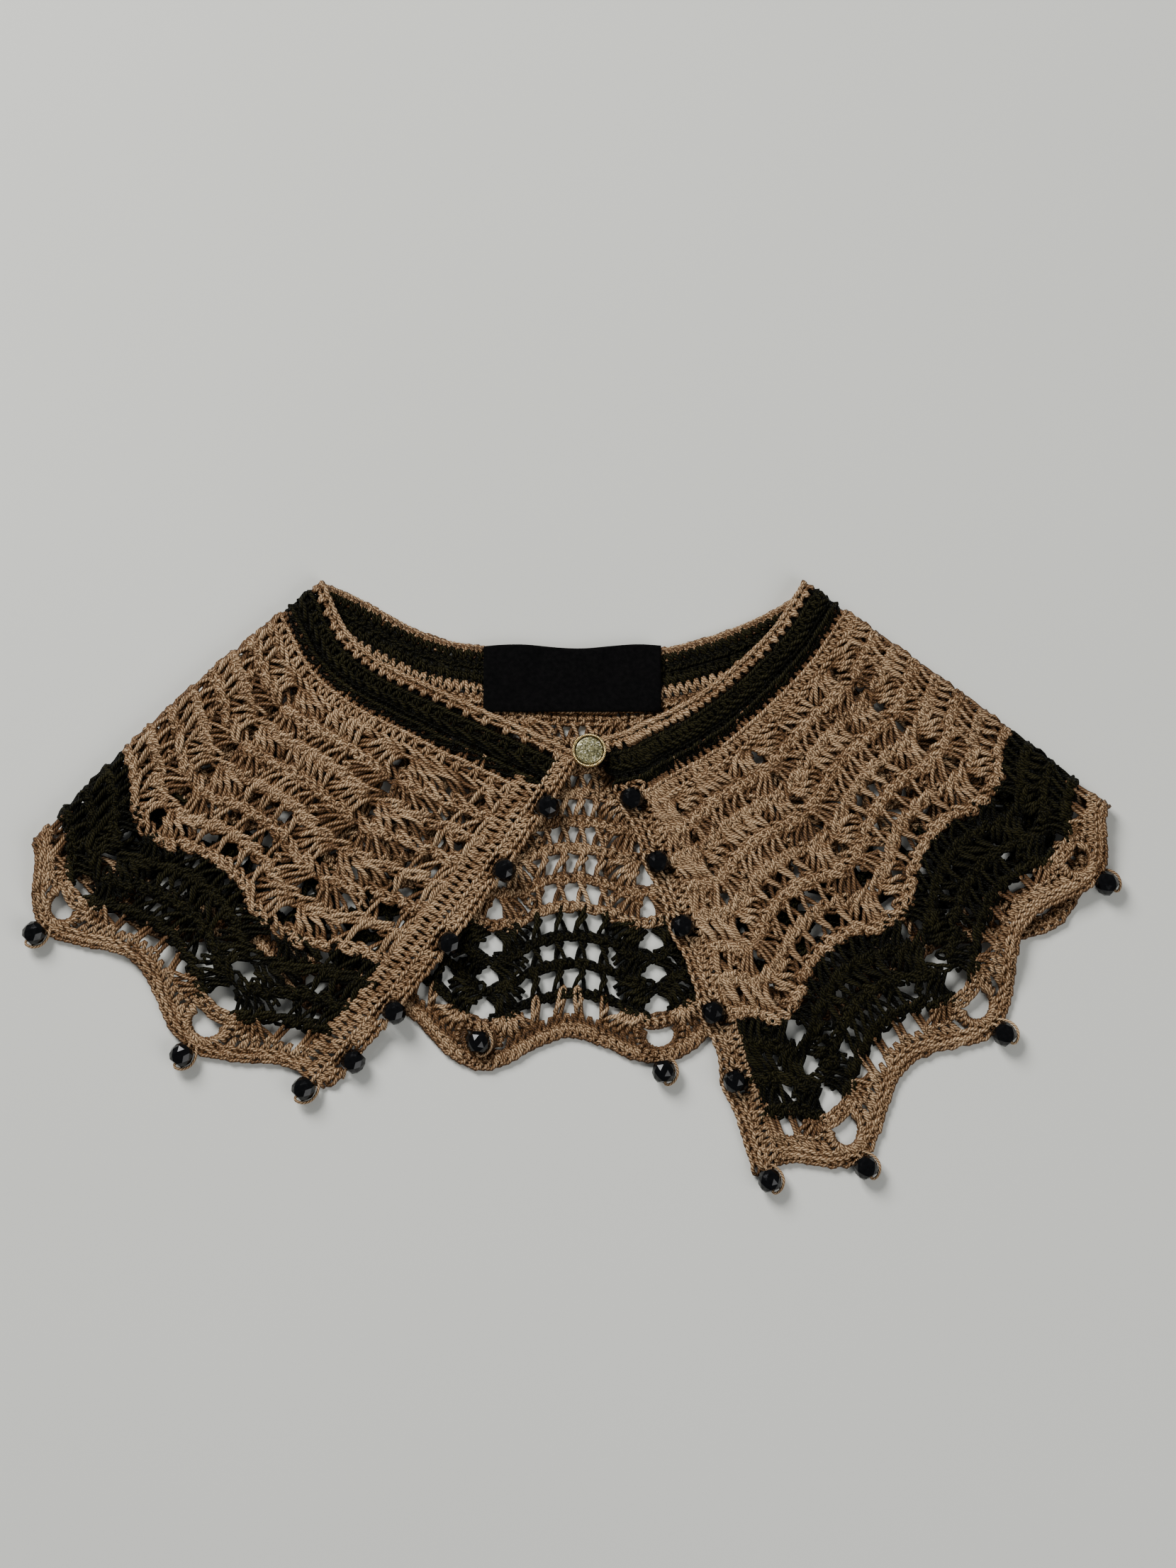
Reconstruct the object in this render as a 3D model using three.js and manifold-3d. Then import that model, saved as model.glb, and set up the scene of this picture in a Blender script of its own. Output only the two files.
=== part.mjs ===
// A crocheted cotton collar that lies folded on a flat surface, buttoned at the front.
// It was worked flat from the neck to the hem and is folded at both shoulders: the back lies on
// the surface and the two fronts lie over it. Millimetres, +X to the right, +Y from the front
// corners to the neck, +Z up.
//
// Every cloth piece is cut from one chart of the collar. The chart's first coordinate u counts
// the pattern's repeats round the neck, with a shell column at each half, from the left front
// edge at 0 to the right front edge at 11. The second, row, is the distance from the neck in mm.

import * as THREE from "three";
import Module from "manifold-3d";

const wasm = await Module();
wasm.setup();

// Cloth
const CLOTH = 2.4;            // thickness of the worked cotton
const SHELL_PUFF = 0.4;       // how far a shell column swells above the net
const SEAM_GAP = 0.3;         // between pieces that touch on the real collar
const FOLD_RADIUS = 2.2;      // of the middle of the cloth where it turns at a shoulder
const SETTLE = 18;            // run in which a front comes down from the fold's full height
const NECK_LIFT = 0.8;        // the fronts rise over the label near the neck
const NECK_LIFT_REACH = 28;
const DROP_RUN = 14;          // run in which a front comes down past the back's hem

// Rows, in mm from the neck's edge where the hem has a valley
const TRIM_END = 3;
const NECK_BAND_END = 15;
const SCALLOP_START = 24;
const BODY_END = 88;
const CONTRAST_END = 117;
const HEM_END = 131;
const TIP_RISE = 12;          // a tip of the hem lies this much further out than a valley

// The net: rows of holes beside each valley, and eyelets and loops on the shell columns
const NET_INNER = 0.05;       // in repeats from the valley
const NET_OUTER = 0.16;
const EYELET_HALF = 0.05;     // in repeats from the column
const LOOP_HALF = 0.07;
const REPEATS = 11;
const SHOULDERS = [2, 8];     // repeats at which the collar is folded

// Front edgings, beads, button and label
const LEFT_EDGING = 0.25;     // widths of the front edgings, in repeats
const RIGHT_EDGING = 0.2;
const BEAD_RADIUS = 4;
const BEAD_LENGTH = 7.2;
const BEAD_BORE = 0.9;
const BEAD_SIDES = 10;
const BUTTON = { x: 5.5, y: 41.3, radius: 5.75, height: 3.2, inlay: 4.7, inlayDepth: 1, shank: 1.6 };
const PLACE = { x: 0.61, y: 2.46 };  // brings the middle of the whole outline over the origin
const LABEL = { x: -0.2, y: 66.8, width: 60, height: 22.5, thickness: 0.6, wave: 0.7 };

// Rays of the chart, where it lies: the neck point and the hem point of each, the cloth's
// length between them, how far the middle bows towards +X, and the distance from the neck
// at which a front has left the back's hem (150: never).
const RAYS = {
  left: [
    { u: -0.25, neck: [2.9, 40.6], hem: [-81.5, -72.5], length: 131, bow: 3.4, drop: 111 },
    { u: 0, neck: [-8.6, 46.4], hem: [-92, -65.5], length: 131, bow: 3.4, drop: 114 },
    { u: 0.5, neck: [-40, 60.7], hem: [-128.1, -58], length: 143, bow: 0, drop: 122 },
    { u: 1.5, neck: [-73.8, 80.5], hem: [-177.6, -17.4], length: 143, bow: 0, drop: 127 },
    { u: 2, neck: [-84.3, 100.3], hem: [-180.5, 10.9], length: 131, bow: -3, drop: 150 },
  ],
  back: [
    { u: 2, neck: [-84.3, 100.3], hem: [-180.5, 10.9], length: 131, bow: -3, drop: 150 },
    { u: 2.5, neck: [-74.8, 96.4], hem: [-143.1, -18.9], length: 143, bow: 0, drop: 150 },
    { u: 3.5, neck: [-45.5, 81.5], hem: [-88.1, -44.7], length: 143, bow: 0, drop: 150 },
    { u: 4.5, neck: [-14.8, 77.8], hem: [-32.4, -64.8], length: 143, bow: 0, drop: 150 },
    { u: 5.5, neck: [16.4, 76.1], hem: [30, -62.8], length: 143, bow: 0, drop: 150 },
    { u: 6.5, neck: [46.9, 82.2], hem: [92.6, -46.4], length: 143, bow: 0, drop: 150 },
    { u: 7.5, neck: [72.9, 94.3], hem: [162.4, -16.4], length: 143, bow: 0, drop: 150 },
    { u: 8, neck: [77.6, 100.1], hem: [179.5, 23], length: 131, bow: 1, drop: 150 },
  ],
  right: [
    { u: 8, neck: [77.6, 100.1], hem: [179.5, 23], length: 131, bow: 1, drop: 150 },
    { u: 8.5, neck: [67.6, 84.6], hem: [176, -0.7], length: 143, bow: 0, drop: 150 },
    { u: 9.5, neck: [42.6, 61.9], hem: [141.4, -51.2], length: 143, bow: 0, drop: 122 },
    { u: 10.5, neck: [21.2, 50.8], hem: [95.5, -95.2], length: 143, bow: 0, drop: 100 },
    { u: 11, neck: [15.7, 48.3], hem: [68.3, -96.9], length: 131, bow: 3, drop: 92 },
    { u: 11.2, neck: [7.6, 46.4], hem: [60, -100.1], length: 131, bow: 3, drop: 90 },
  ],
};

// Beads along the front edges by their row, and at the hem by their column
const LEFT_BEAD_ROWS = [19.7, 43.8, 72.3, 99.5, 119];
const RIGHT_BEAD_ROWS = [20, 39.5, 59, 85, 105];
const TIP_BEAD_COLUMNS = [0.5, 1.5, 5.5, 8.5, 9.5, 10.5];
const LOOP_BEAD_COLUMN = 4.5;

const PAINT = {
  beige: { color: 0xac8a68, roughness: 0.85, metalness: 0 },
  green: { color: 0x2a2a1a, roughness: 0.85, metalness: 0 },
  glass: { color: 0x050506, roughness: 0.08, metalness: 0 },
  gold: { color: 0xc9a25e, roughness: 0.25, metalness: 1 },
  glitter: { color: 0xb9b38c, roughness: 0.4, metalness: 0.4 },
  black: { color: 0x0b0a0a, roughness: 0.95, metalness: 0 },
};

// Small mathematics

function clamp01(t) {
  return Math.min(1, Math.max(0, t));
}

function smoothStep(t) {
  const s = clamp01(t);
  return s * s * (3 - 2 * s);
}

function mix(a, b, t) {
  return a + (b - a) * t;
}

// Smooth curve through the values of a table's rows, at u
function through(rows, valueOf, u) {
  let k = 0;
  while (k < rows.length - 2 && u > rows[k + 1].u) {
    k += 1;
  }
  const slope = (i) => (valueOf(rows[i + 1]) - valueOf(rows[i])) / (rows[i + 1].u - rows[i].u);
  const span = rows[k + 1].u - rows[k].u;
  const here = slope(k);
  const before = k > 0 ? (slope(k - 1) + here) / 2 : here;
  const after = k < rows.length - 2 ? (here + slope(k + 1)) / 2 : here;
  const t = (u - rows[k].u) / span;
  const a = valueOf(rows[k]);
  const b = valueOf(rows[k + 1]);
  const hermite = (2 * t ** 3 - 3 * t ** 2 + 1) * a + (3 * t ** 2 - 2 * t ** 3) * b;
  return hermite + span * ((t ** 3 - 2 * t ** 2 + t) * before + (t ** 3 - t ** 2) * after);
}

// The chart

// 1 on a shell column, 0 in the valley between two
function columnness(u) {
  return u < 0 || u > REPEATS ? 0 : Math.sin(Math.PI * u) ** 2;
}

// Distance from the neck of a row, which bends outwards at the columns
function reach(u, row) {
  const rise = (TIP_RISE * Math.max(0, row - SCALLOP_START)) / (HEM_END - SCALLOP_START);
  return row + rise * columnness(u);
}

function panelOf(u) {
  if (u < SHOULDERS[0]) {
    return RAYS.left;
  }
  return u > SHOULDERS[1] ? RAYS.right : RAYS.back;
}

// Width of one repeat at a distance from the neck
function repeatWidth(distance) {
  return mix(33, 62, distance / 143);
}

// Place of a chart point seen from above
function plan(u, distance) {
  const rays = panelOf(u);
  const at = (valueOf) => through(rays, valueOf, u);
  const alongX = at((ray) => (ray.hem[0] - ray.neck[0]) / ray.length);
  const alongY = at((ray) => (ray.hem[1] - ray.neck[1]) / ray.length);
  const t = clamp01(distance / HEM_END);
  const bow = at((ray) => ray.bow) * 4 * t * (1 - t);
  const size = Math.hypot(alongX, alongY);
  return [
    at((ray) => ray.neck[0]) + alongX * distance - (bow * alongY) / size,
    at((ray) => ray.neck[1]) + alongY * distance + (bow * alongX) / size,
  ];
}

// Height of the middle of a front panel away from the folds
function frontLevel(u, distance) {
  const over = 2 * CLOTH + SHELL_PUFF + SEAM_GAP - CLOTH / 2;
  const lifted = over + NECK_LIFT * Math.exp(-((distance / NECK_LIFT_REACH) ** 2));
  const drop = through(panelOf(u), (ray) => ray.drop, u);
  return mix(lifted, CLOTH / 2, smoothStep((distance - drop) / DROP_RUN));
}

// Middle of the cloth at a chart point: flat on the back, a half turn at each shoulder
function middle(u, row) {
  const distance = reach(u, row);
  const width = repeatWidth(distance);
  const fold = Math.abs(u - SHOULDERS[0]) < Math.abs(u - SHOULDERS[1]) ? SHOULDERS[0] : SHOULDERS[1];
  const away = Math.abs(u - fold) * width;
  const quarter = QUARTER_TURN;
  const angle = Math.min(away / FOLD_RADIUS, Math.PI / 2);
  const slack = (quarter - FOLD_RADIUS) * clamp01(1 - (away - quarter) / 25);
  const inset = away < quarter ? FOLD_RADIUS * (1 - Math.cos(angle)) : away - slack;
  const [x, y] = plan(fold + (Math.sign(u - fold) * inset) / width, distance);
  const lift = FOLD_RADIUS * Math.sin(angle);
  const centre = CLOTH / 2 + FOLD_RADIUS;
  if (u >= SHOULDERS[0] && u <= SHOULDERS[1]) {
    return new THREE.Vector3(x, y, centre - lift);
  }
  const settled = smoothStep((away - quarter) / SETTLE);
  return new THREE.Vector3(x, y, mix(centre + lift, frontLevel(u, distance), settled));
}

// Unit normal of the cloth, out of its right side: down on the back, up on the fronts
function outward(u, row) {
  const du = 0.002;
  const dr = 0.05;
  const alongU = middle(u + du, row).sub(middle(u - du, row));
  const alongRow = middle(u, row + dr).sub(middle(u, row - dr));
  const normal = alongU.cross(alongRow).normalize();
  return Math.abs(normal.z) > 0.9999 ? new THREE.Vector3(0, 0, Math.sign(normal.z)) : normal;
}

// Point on the right side (1) or the wrong side (-1) of the cloth. A shell column swells on the
// side that lies upwards, which is the wrong side on the back.
function clothPoint(u, row, side) {
  const onBack = u >= SHOULDERS[0] && u <= SHOULDERS[1];
  const swells = side === (onBack ? -1 : 1) && row > SCALLOP_START && row < HEM_END - 8;
  const half = CLOTH / 2 + (swells ? SHELL_PUFF * columnness(u) : 0);
  return middle(u, row).addScaledVector(outward(u, row), side * half);
}

// Solids

function bufferGeometry(positions, triangles) {
  const geometry = new THREE.BufferGeometry();
  geometry.setAttribute("position", new THREE.Float32BufferAttribute(positions, 3));
  geometry.setIndex(triangles);
  geometry.computeVertexNormals();
  return geometry;
}

// Closed plate over a grid: a point function gives both sides, and open cells are left out
function gridPlate(columns, rows, isOpen, point) {
  const positions = [];
  for (const face of [1, -1]) {
    for (const column of columns) {
      for (const row of rows) {
        positions.push(...point(column, row, face).toArray());
      }
    }
  }
  const count = columns.length * rows.length;
  const at = (i, j, face) => i * rows.length + j + (face > 0 ? 0 : count);
  const solidAt = (i, j) =>
    i >= 0 && j >= 0 && i < columns.length - 1 && j < rows.length - 1 && !isOpen(i, j);
  const triangles = [];
  const quad = (a, b, c, d) => triangles.push(a, b, c, a, c, d);
  const wall = (i0, j0, i1, j1) => quad(at(i0, j0, 1), at(i1, j1, 1), at(i1, j1, -1), at(i0, j0, -1));
  for (let i = 0; i < columns.length - 1; i += 1) {
    for (let j = 0; j < rows.length - 1; j += 1) {
      if (!solidAt(i, j)) {
        continue;
      }
      quad(at(i, j, 1), at(i + 1, j, 1), at(i + 1, j + 1, 1), at(i, j + 1, 1));
      quad(at(i, j, -1), at(i, j + 1, -1), at(i + 1, j + 1, -1), at(i + 1, j, -1));
      if (!solidAt(i - 1, j)) {
        wall(i, j, i, j + 1);
      }
      if (!solidAt(i + 1, j)) {
        wall(i + 1, j + 1, i + 1, j);
      }
      if (!solidAt(i, j - 1)) {
        wall(i + 1, j, i, j);
      }
      if (!solidAt(i, j + 1)) {
        wall(i, j + 1, i + 1, j + 1);
      }
    }
  }
  return compacted(positions, triangles);
}

// The same mesh without the vertices that no triangle uses, and with its faces pointing out
function compacted(positions, triangles) {
  const renamed = new Map();
  const kept = [];
  const indices = triangles.map((vertex) => {
    if (!renamed.has(vertex)) {
      renamed.set(vertex, kept.length / 3);
      kept.push(positions[3 * vertex], positions[3 * vertex + 1], positions[3 * vertex + 2]);
    }
    return renamed.get(vertex);
  });
  if (signedVolume(kept, indices) < 0) {
    indices.reverse();
  }
  return bufferGeometry(kept, indices);
}

function signedVolume(positions, triangles) {
  const corner = (k) => new THREE.Vector3().fromArray(positions, 3 * triangles[k]);
  let volume = 0;
  for (let k = 0; k < triangles.length; k += 3) {
    volume += corner(k).dot(corner(k + 1).cross(corner(k + 2))) / 6;
  }
  return volume;
}

// Round solid about Z from a closed profile of [radius, height] points
function turned(profile, sides) {
  const points = [...profile, profile[0]].map(([radius, height]) => new THREE.Vector2(radius, height));
  return new THREE.LatheGeometry(points, sides).rotateX(Math.PI / 2);
}

// Booleans

function toManifold(geometry) {
  const position = geometry.getAttribute("position");
  const names = new Map();
  const vertices = [];
  const welded = [];
  for (let k = 0; k < position.count; k += 1) {
    const corner = [position.getX(k), position.getY(k), position.getZ(k)];
    const key = corner.map((value) => Math.round(value * 1e4)).join();
    if (!names.has(key)) {
      names.set(key, vertices.length / 3);
      vertices.push(...corner);
    }
    welded.push(names.get(key));
  }
  const source = geometry.index ? [...geometry.index.array] : welded.map((_, k) => k);
  const triangles = [];
  for (let k = 0; k < source.length; k += 3) {
    const [a, b, c] = [0, 1, 2].map((n) => welded[source[k + n]]);
    if (a !== b && b !== c && c !== a) {
      triangles.push(a, b, c);
    }
  }
  const outwards = signedVolume(vertices, triangles) < 0 ? triangles.reverse() : triangles;
  return new wasm.Manifold(
    new wasm.Mesh({
      numProp: 3,
      vertProperties: new Float32Array(vertices),
      triVerts: new Uint32Array(outwards),
    }),
  );
}

function fromManifold(solid) {
  const mesh = solid.getMesh();
  return bufferGeometry(mesh.vertProperties, [...mesh.triVerts]);
}

// Columns of the grid

// Marks at the shoulders follow the turn of the fold, and at each repeat the given marks
function columnLines(marks, start, end) {
  const lines = new Set([start, end]);
  for (let repeat = Math.ceil(start) - 1; repeat <= end; repeat += 1) {
    for (const mark of marks) {
      const u = Number((repeat + mark).toFixed(4));
      const nearFold = SHOULDERS.some((fold) => Math.abs(u - fold) < Math.max(...FOLD_MARKS) + 0.02);
      if (u > start + 0.01 && u < end - 0.01 && !nearFold) {
        lines.add(u);
      }
    }
  }
  for (const fold of SHOULDERS) {
    for (const mark of FOLD_MARKS) {
      lines.add(fold - mark);
      lines.add(fold + mark);
    }
  }
  return [...lines].sort((a, b) => a - b);
}

// Turn of the fold as marks in repeats, from its crest to where the cloth has settled
const QUARTER_TURN = (Math.PI * FOLD_RADIUS) / 2;
const FOLD_MARKS = [0, 0.5, 1, 2.4].map((turns) => (turns * QUARTER_TURN) / repeatWidth(70));

function onColumn(u, half) {
  return Math.abs(u - Math.floor(u) - 0.5) < half;
}

function onNet(u) {
  const valley = Math.round(u);
  const away = Math.abs(u - valley);
  const inner = valley > 0 && valley < REPEATS && !SHOULDERS.includes(valley);
  return inner && away > NET_INNER && away < NET_OUTER;
}

const NET_MARKS = [
  NET_INNER,
  NET_OUTER,
  0.5 - EYELET_HALF,
  0.5 + EYELET_HALF,
  1 - NET_OUTER,
  1 - NET_INNER,
];
const HEM_MARKS = [
  NET_INNER,
  NET_OUTER,
  0.3,
  0.5 - LOOP_HALF,
  0.5 + LOOP_HALF,
  0.7,
  1 - NET_OUTER,
  1 - NET_INNER,
];
const BAND_MARKS = [0, 0.25, 0.5, 0.75];

// A band of the collar: rows are [distance, what is open in the row that starts there]
function band(marks, rows, start = 0, end = REPEATS) {
  const distances = rows.map(([distance]) => distance);
  const columns = columnLines(marks, start, end);
  const tests = { net: onNet, eyelet: (u) => onColumn(u, EYELET_HALF), loop: (u) => onColumn(u, LOOP_HALF) };
  const isOpen = (i, j) => {
    const u = (columns[i] + columns[i + 1]) / 2;
    return rows[j][1].some((kind) => tests[kind](u));
  };
  return gridPlate(columns, distances, isOpen, clothPoint);
}

// Cloth pieces

function neckTrim() {
  return band(BAND_MARKS, [[0, []], [TRIM_END - SEAM_GAP, []]], -LEFT_EDGING, REPEATS + RIGHT_EDGING);
}

function neckBand() {
  const rows = [[TRIM_END, []], [9, []], [NECK_BAND_END - SEAM_GAP, []]];
  return band(BAND_MARKS, rows, 0, REPEATS + RIGHT_EDGING);
}

function body() {
  return band(NET_MARKS, [
    [NECK_BAND_END, []],
    [SCALLOP_START, []],
    [43, []],
    [62.2, ["net"]],
    [68.1, []],
    [71.3, ["net", "eyelet"]],
    [77.3, []],
    [80.5, ["net", "eyelet"]],
    [86.2, []],
    [BODY_END - SEAM_GAP, []],
  ]);
}

function contrastBand() {
  return band(HEM_MARKS, [
    [BODY_END, []],
    [90.2, ["net"]],
    [96.4, []],
    [100, ["net"]],
    [106.2, []],
    [CONTRAST_END - SEAM_GAP, []],
  ]);
}

function hemEdging() {
  return band(HEM_MARKS, [
    [CONTRAST_END, []],
    [119.2, ["loop"]],
    [127.6, []],
    [HEM_END, []],
  ]);
}

// Strip along a front edge with a notch for each bead: the bead's middle stands on the notch's
// mouth, or inside it by the given depth
function frontEdging(columns, notchColumn, beadRows, firstRow) {
  const half = BEAD_LENGTH / 2 + 2 * SEAM_GAP;
  const rows = [firstRow];
  for (const beadRow of beadRows) {
    rows.push(Math.max(beadRow - half, firstRow + 0.8), beadRow + half);
  }
  rows.push(HEM_END);
  const lines = rows.flatMap((row, k) => (k && row - rows[k - 1] > 12 ? [(row + rows[k - 1]) / 2, row] : [row]));
  const inNotch = (row) => beadRows.some((beadRow) => Math.abs(row - beadRow) < half);
  const isOpen = (i, j) => i === notchColumn && inNotch((lines[j] + lines[j + 1]) / 2);
  return gridPlate(columns, lines, isOpen, clothPoint);
}

// Beads

// Faceted glass bead, drilled along its axis
function beadGeometry() {
  const half = BEAD_LENGTH / 2;
  const profile = [
    [BEAD_BORE, -half],
    [0.62 * BEAD_RADIUS, -0.86 * half],
    [BEAD_RADIUS, -0.32 * half],
    [BEAD_RADIUS, 0.32 * half],
    [0.62 * BEAD_RADIUS, 0.86 * half],
    [BEAD_BORE, half],
  ];
  const solid = toManifold(turned(profile, BEAD_SIDES));
  return fromManifold(solid);
}

// Where a bead hangs: its middle, and the direction of its bore on the surface
function tipBeadPlace(column) {
  const beside = middle(column - LOOP_HALF, HEM_END);
  const edge = beside.lerp(middle(column + LOOP_HALF, HEM_END), 0.5);
  const inside = middle(column, HEM_END - 3);
  const direction = new THREE.Vector3(edge.x - inside.x, edge.y - inside.y, 0).normalize();
  const centre = edge.clone().addScaledVector(direction, BEAD_LENGTH / 2 + SEAM_GAP + 0.1);
  return { centre, direction };
}

function edgeBeadPlace(u, row) {
  const centre = middle(u, row);
  const next = middle(u, row + 2);
  const direction = new THREE.Vector3(next.x - centre.x, next.y - centre.y, 0).normalize();
  return { centre, direction };
}

// A bead rests on the surface, or on the back where that lies under it
function restHeight(onBack) {
  const apothem = BEAD_RADIUS * Math.cos(Math.PI / BEAD_SIDES);
  return apothem + (onBack ? CLOTH + SHELL_PUFF + SEAM_GAP : 0);
}

// Beads from the left front's hem round to the right front's
function beadPlaces() {
  const leftEdge = LEFT_BEAD_ROWS.map((row) => ({ ...edgeBeadPlace(-LEFT_EDGING, row), onBack: row < 110 }));
  const rightEdge = RIGHT_BEAD_ROWS.map((row) => ({
    ...edgeBeadPlace(REPEATS + RIGHT_EDGING * 0.7, row),
    onBack: row < 95,
  }));
  const leftCorner = { ...tipBeadPlace(-LEFT_EDGING / 2), onBack: false };
  const rightCorner = { ...tipBeadPlace(REPEATS + RIGHT_EDGING / 2), onBack: false };
  const tips = TIP_BEAD_COLUMNS.map((column) => ({ ...tipBeadPlace(column), onBack: false }));
  const loop = { ...edgeBeadPlace(LOOP_BEAD_COLUMN, 123.4), onBack: false };
  return [...leftEdge, leftCorner, ...tips, loop, rightCorner, ...rightEdge];
}

// Button and label

// Cap with a raised rim, and a shank between the two front ends
function buttonCap() {
  const { radius, height, inlay, inlayDepth, shank } = BUTTON;
  const shankLength = 2.4;
  return turned(
    [
      [0, -shankLength],
      [shank, -shankLength],
      [shank, 0],
      [radius - 1, 0],
      [radius, 1],
      [radius, height - 0.6],
      [radius - 0.5, height],
      [inlay + 0.15, height],
      [inlay + 0.15, height - inlayDepth],
      [0, height - inlayDepth],
    ],
    24,
  );
}

function buttonInlay() {
  const { height, inlay, inlayDepth } = BUTTON;
  const base = height - inlayDepth + SEAM_GAP;
  return turned([[0, base], [inlay - 0.15, base], [inlay - 0.15, height - 0.2], [0, height - 0.1]], 24);
}

function labelGeometry() {
  const { x, y, width, height, thickness, wave } = LABEL;
  const columns = Array.from({ length: 11 }, (_, k) => k / 10);
  const rows = [0, 0.5, 1];
  const base = CLOTH + SEAM_GAP;
  const point = (across, down, face) =>
    new THREE.Vector3(
      x + (across - 0.5) * width,
      y + (0.5 - down) * height + wave * Math.sin(across * 9) * (1 - down),
      base + (face > 0 ? thickness : 0),
    );
  return gridPlate(columns, rows, () => false, point);
}

// Assembly

function mesh(name, geometry, paint) {
  const piece = new THREE.Mesh(geometry, new THREE.MeshStandardMaterial(PAINT[paint]));
  piece.name = name;
  return piece;
}

const collar = new THREE.Group();
collar.position.set(PLACE.x, PLACE.y, 0);

const leftColumns = [-LEFT_EDGING, -LEFT_EDGING * 0.62, -0.006];
const rightColumns = [REPEATS + 0.006, REPEATS + RIGHT_EDGING * 0.24, REPEATS + RIGHT_EDGING];
collar.add(
  mesh("neck_trim", neckTrim(), "beige"),
  mesh("neck_band", neckBand(), "green"),
  mesh("body", body(), "beige"),
  mesh("contrast_band", contrastBand(), "green"),
  mesh("hem_edging", hemEdging(), "beige"),
  mesh("front_edging_left", frontEdging(leftColumns, 0, LEFT_BEAD_ROWS, TRIM_END), "beige"),
  mesh("front_edging_right", frontEdging(rightColumns, 1, RIGHT_BEAD_ROWS, NECK_BAND_END), "beige"),
);

beadPlaces().forEach(({ centre, direction, onBack }, k) => {
  const bead = mesh(`bead_${String(k + 1).padStart(2, "0")}`, beadGeometry(), "glass");
  const side = new THREE.Vector3(-direction.y, direction.x, 0);
  const up = new THREE.Vector3(0, 0, 1);
  const turn = new THREE.Matrix4().makeBasis(up.clone().negate(), side, direction);
  bead.quaternion.setFromRotationMatrix(turn);
  bead.position.set(centre.x, centre.y, restHeight(onBack));
  collar.add(bead);
});

const button = new THREE.Group();
const neckTop = frontLevel(0, 8) + CLOTH / 2;
button.position.set(BUTTON.x, BUTTON.y, neckTop + SEAM_GAP);
button.add(mesh("button_cap", buttonCap(), "gold"), mesh("button_inlay", buttonInlay(), "glitter"));
collar.add(button, mesh("label", labelGeometry(), "black"));

export default collar;
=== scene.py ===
# %% [markdown]
# # A crocheted collar, stitch by stitch
# This lesson dresses the imported model of a folded, buttoned crochet collar. The frame holds the
# true sizes and places, and each cell adds one piece or one finish on top of it. Work starts by
# loading the frame.

import math

import bpy
import numpy as np
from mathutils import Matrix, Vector


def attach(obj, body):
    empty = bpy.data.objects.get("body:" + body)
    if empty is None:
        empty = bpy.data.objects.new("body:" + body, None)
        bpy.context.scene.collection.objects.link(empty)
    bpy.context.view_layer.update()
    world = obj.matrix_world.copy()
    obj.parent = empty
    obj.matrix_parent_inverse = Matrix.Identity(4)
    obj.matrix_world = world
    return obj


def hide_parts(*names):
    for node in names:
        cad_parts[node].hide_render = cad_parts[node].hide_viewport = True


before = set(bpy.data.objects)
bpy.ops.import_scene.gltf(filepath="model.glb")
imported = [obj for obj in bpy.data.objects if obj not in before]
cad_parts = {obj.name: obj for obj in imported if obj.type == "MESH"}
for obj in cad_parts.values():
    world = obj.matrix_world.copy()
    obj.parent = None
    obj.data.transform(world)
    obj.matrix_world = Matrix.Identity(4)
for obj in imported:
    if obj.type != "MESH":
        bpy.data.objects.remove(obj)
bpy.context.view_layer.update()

# %% [markdown]
# ## The chart
# Crochet is worked in rows, so a stitch is placed by its repeat round the neck (u, with a shell
# column at each half) and its row (mm from the neck). The collar was worked flat and then folded
# at both shoulders. One function, `middle`, carries a chart point to its place in space: flat on
# the back, through a half turn at each shoulder, and over the back on the two fronts. It repeats
# the same named sizes as the solids.

# %% Sizes of the cloth and the table of rays
CLOTH = 2.4
SHELL_PUFF = 0.4
SEAM_GAP = 0.3
FOLD_RADIUS = 2.2
SETTLE = 18
SLACK_RUN = 25
NECK_LIFT = 0.8
NECK_LIFT_REACH = 28
DROP_RUN = 14
TRIM_END = 3
NECK_BAND_END = 15
SCALLOP_START = 24
BODY_END = 88
CONTRAST_END = 117
HEM_END = 131
TIP_RISE = 12
REPEATS = 11
NECK_REPEAT = 33
TIP_REPEAT = 62
SHOULDERS = (2, 8)
LEFT_EDGING = 0.25
RIGHT_EDGING = 0.2
PLACE = np.array([0.61, 2.46, 0.0])
STITCH_LIFT = 0.3
QUARTER_TURN = math.pi * FOLD_RADIUS / 2

# Each ray: u, neck x and y, hem x and y, length, bow, drop
RAYS = [
    (-0.25, 2.9, 40.6, -81.5, -72.5, 131, 3.4, 111),
    (0, -8.6, 46.4, -92, -65.5, 131, 3.4, 114),
    (0.5, -40, 60.7, -128.1, -58, 143, 0, 122),
    (1.5, -73.8, 80.5, -177.6, -17.4, 143, 0, 127),
    (2, -84.3, 100.3, -180.5, 10.9, 131, -3, 150),
    (2.5, -74.8, 96.4, -143.1, -18.9, 143, 0, 150),
    (3.5, -45.5, 81.5, -88.1, -44.7, 143, 0, 150),
    (4.5, -14.8, 77.8, -32.4, -64.8, 143, 0, 150),
    (5.5, 16.4, 76.1, 30, -62.8, 143, 0, 150),
    (6.5, 46.9, 82.2, 92.6, -46.4, 143, 0, 150),
    (7.5, 72.9, 94.3, 162.4, -16.4, 143, 0, 150),
    (8, 77.6, 100.1, 179.5, 23, 131, 1, 150),
    (8.5, 67.6, 84.6, 176, -0.7, 143, 0, 150),
    (9.5, 42.6, 61.9, 141.4, -51.2, 143, 0, 122),
    (10.5, 21.2, 50.8, 95.5, -95.2, 143, 0, 100),
    (11, 15.7, 48.3, 68.3, -96.9, 131, 3, 92),
    (11.2, 7.6, 46.4, 60, -100.1, 131, 3, 90),
]
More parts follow.
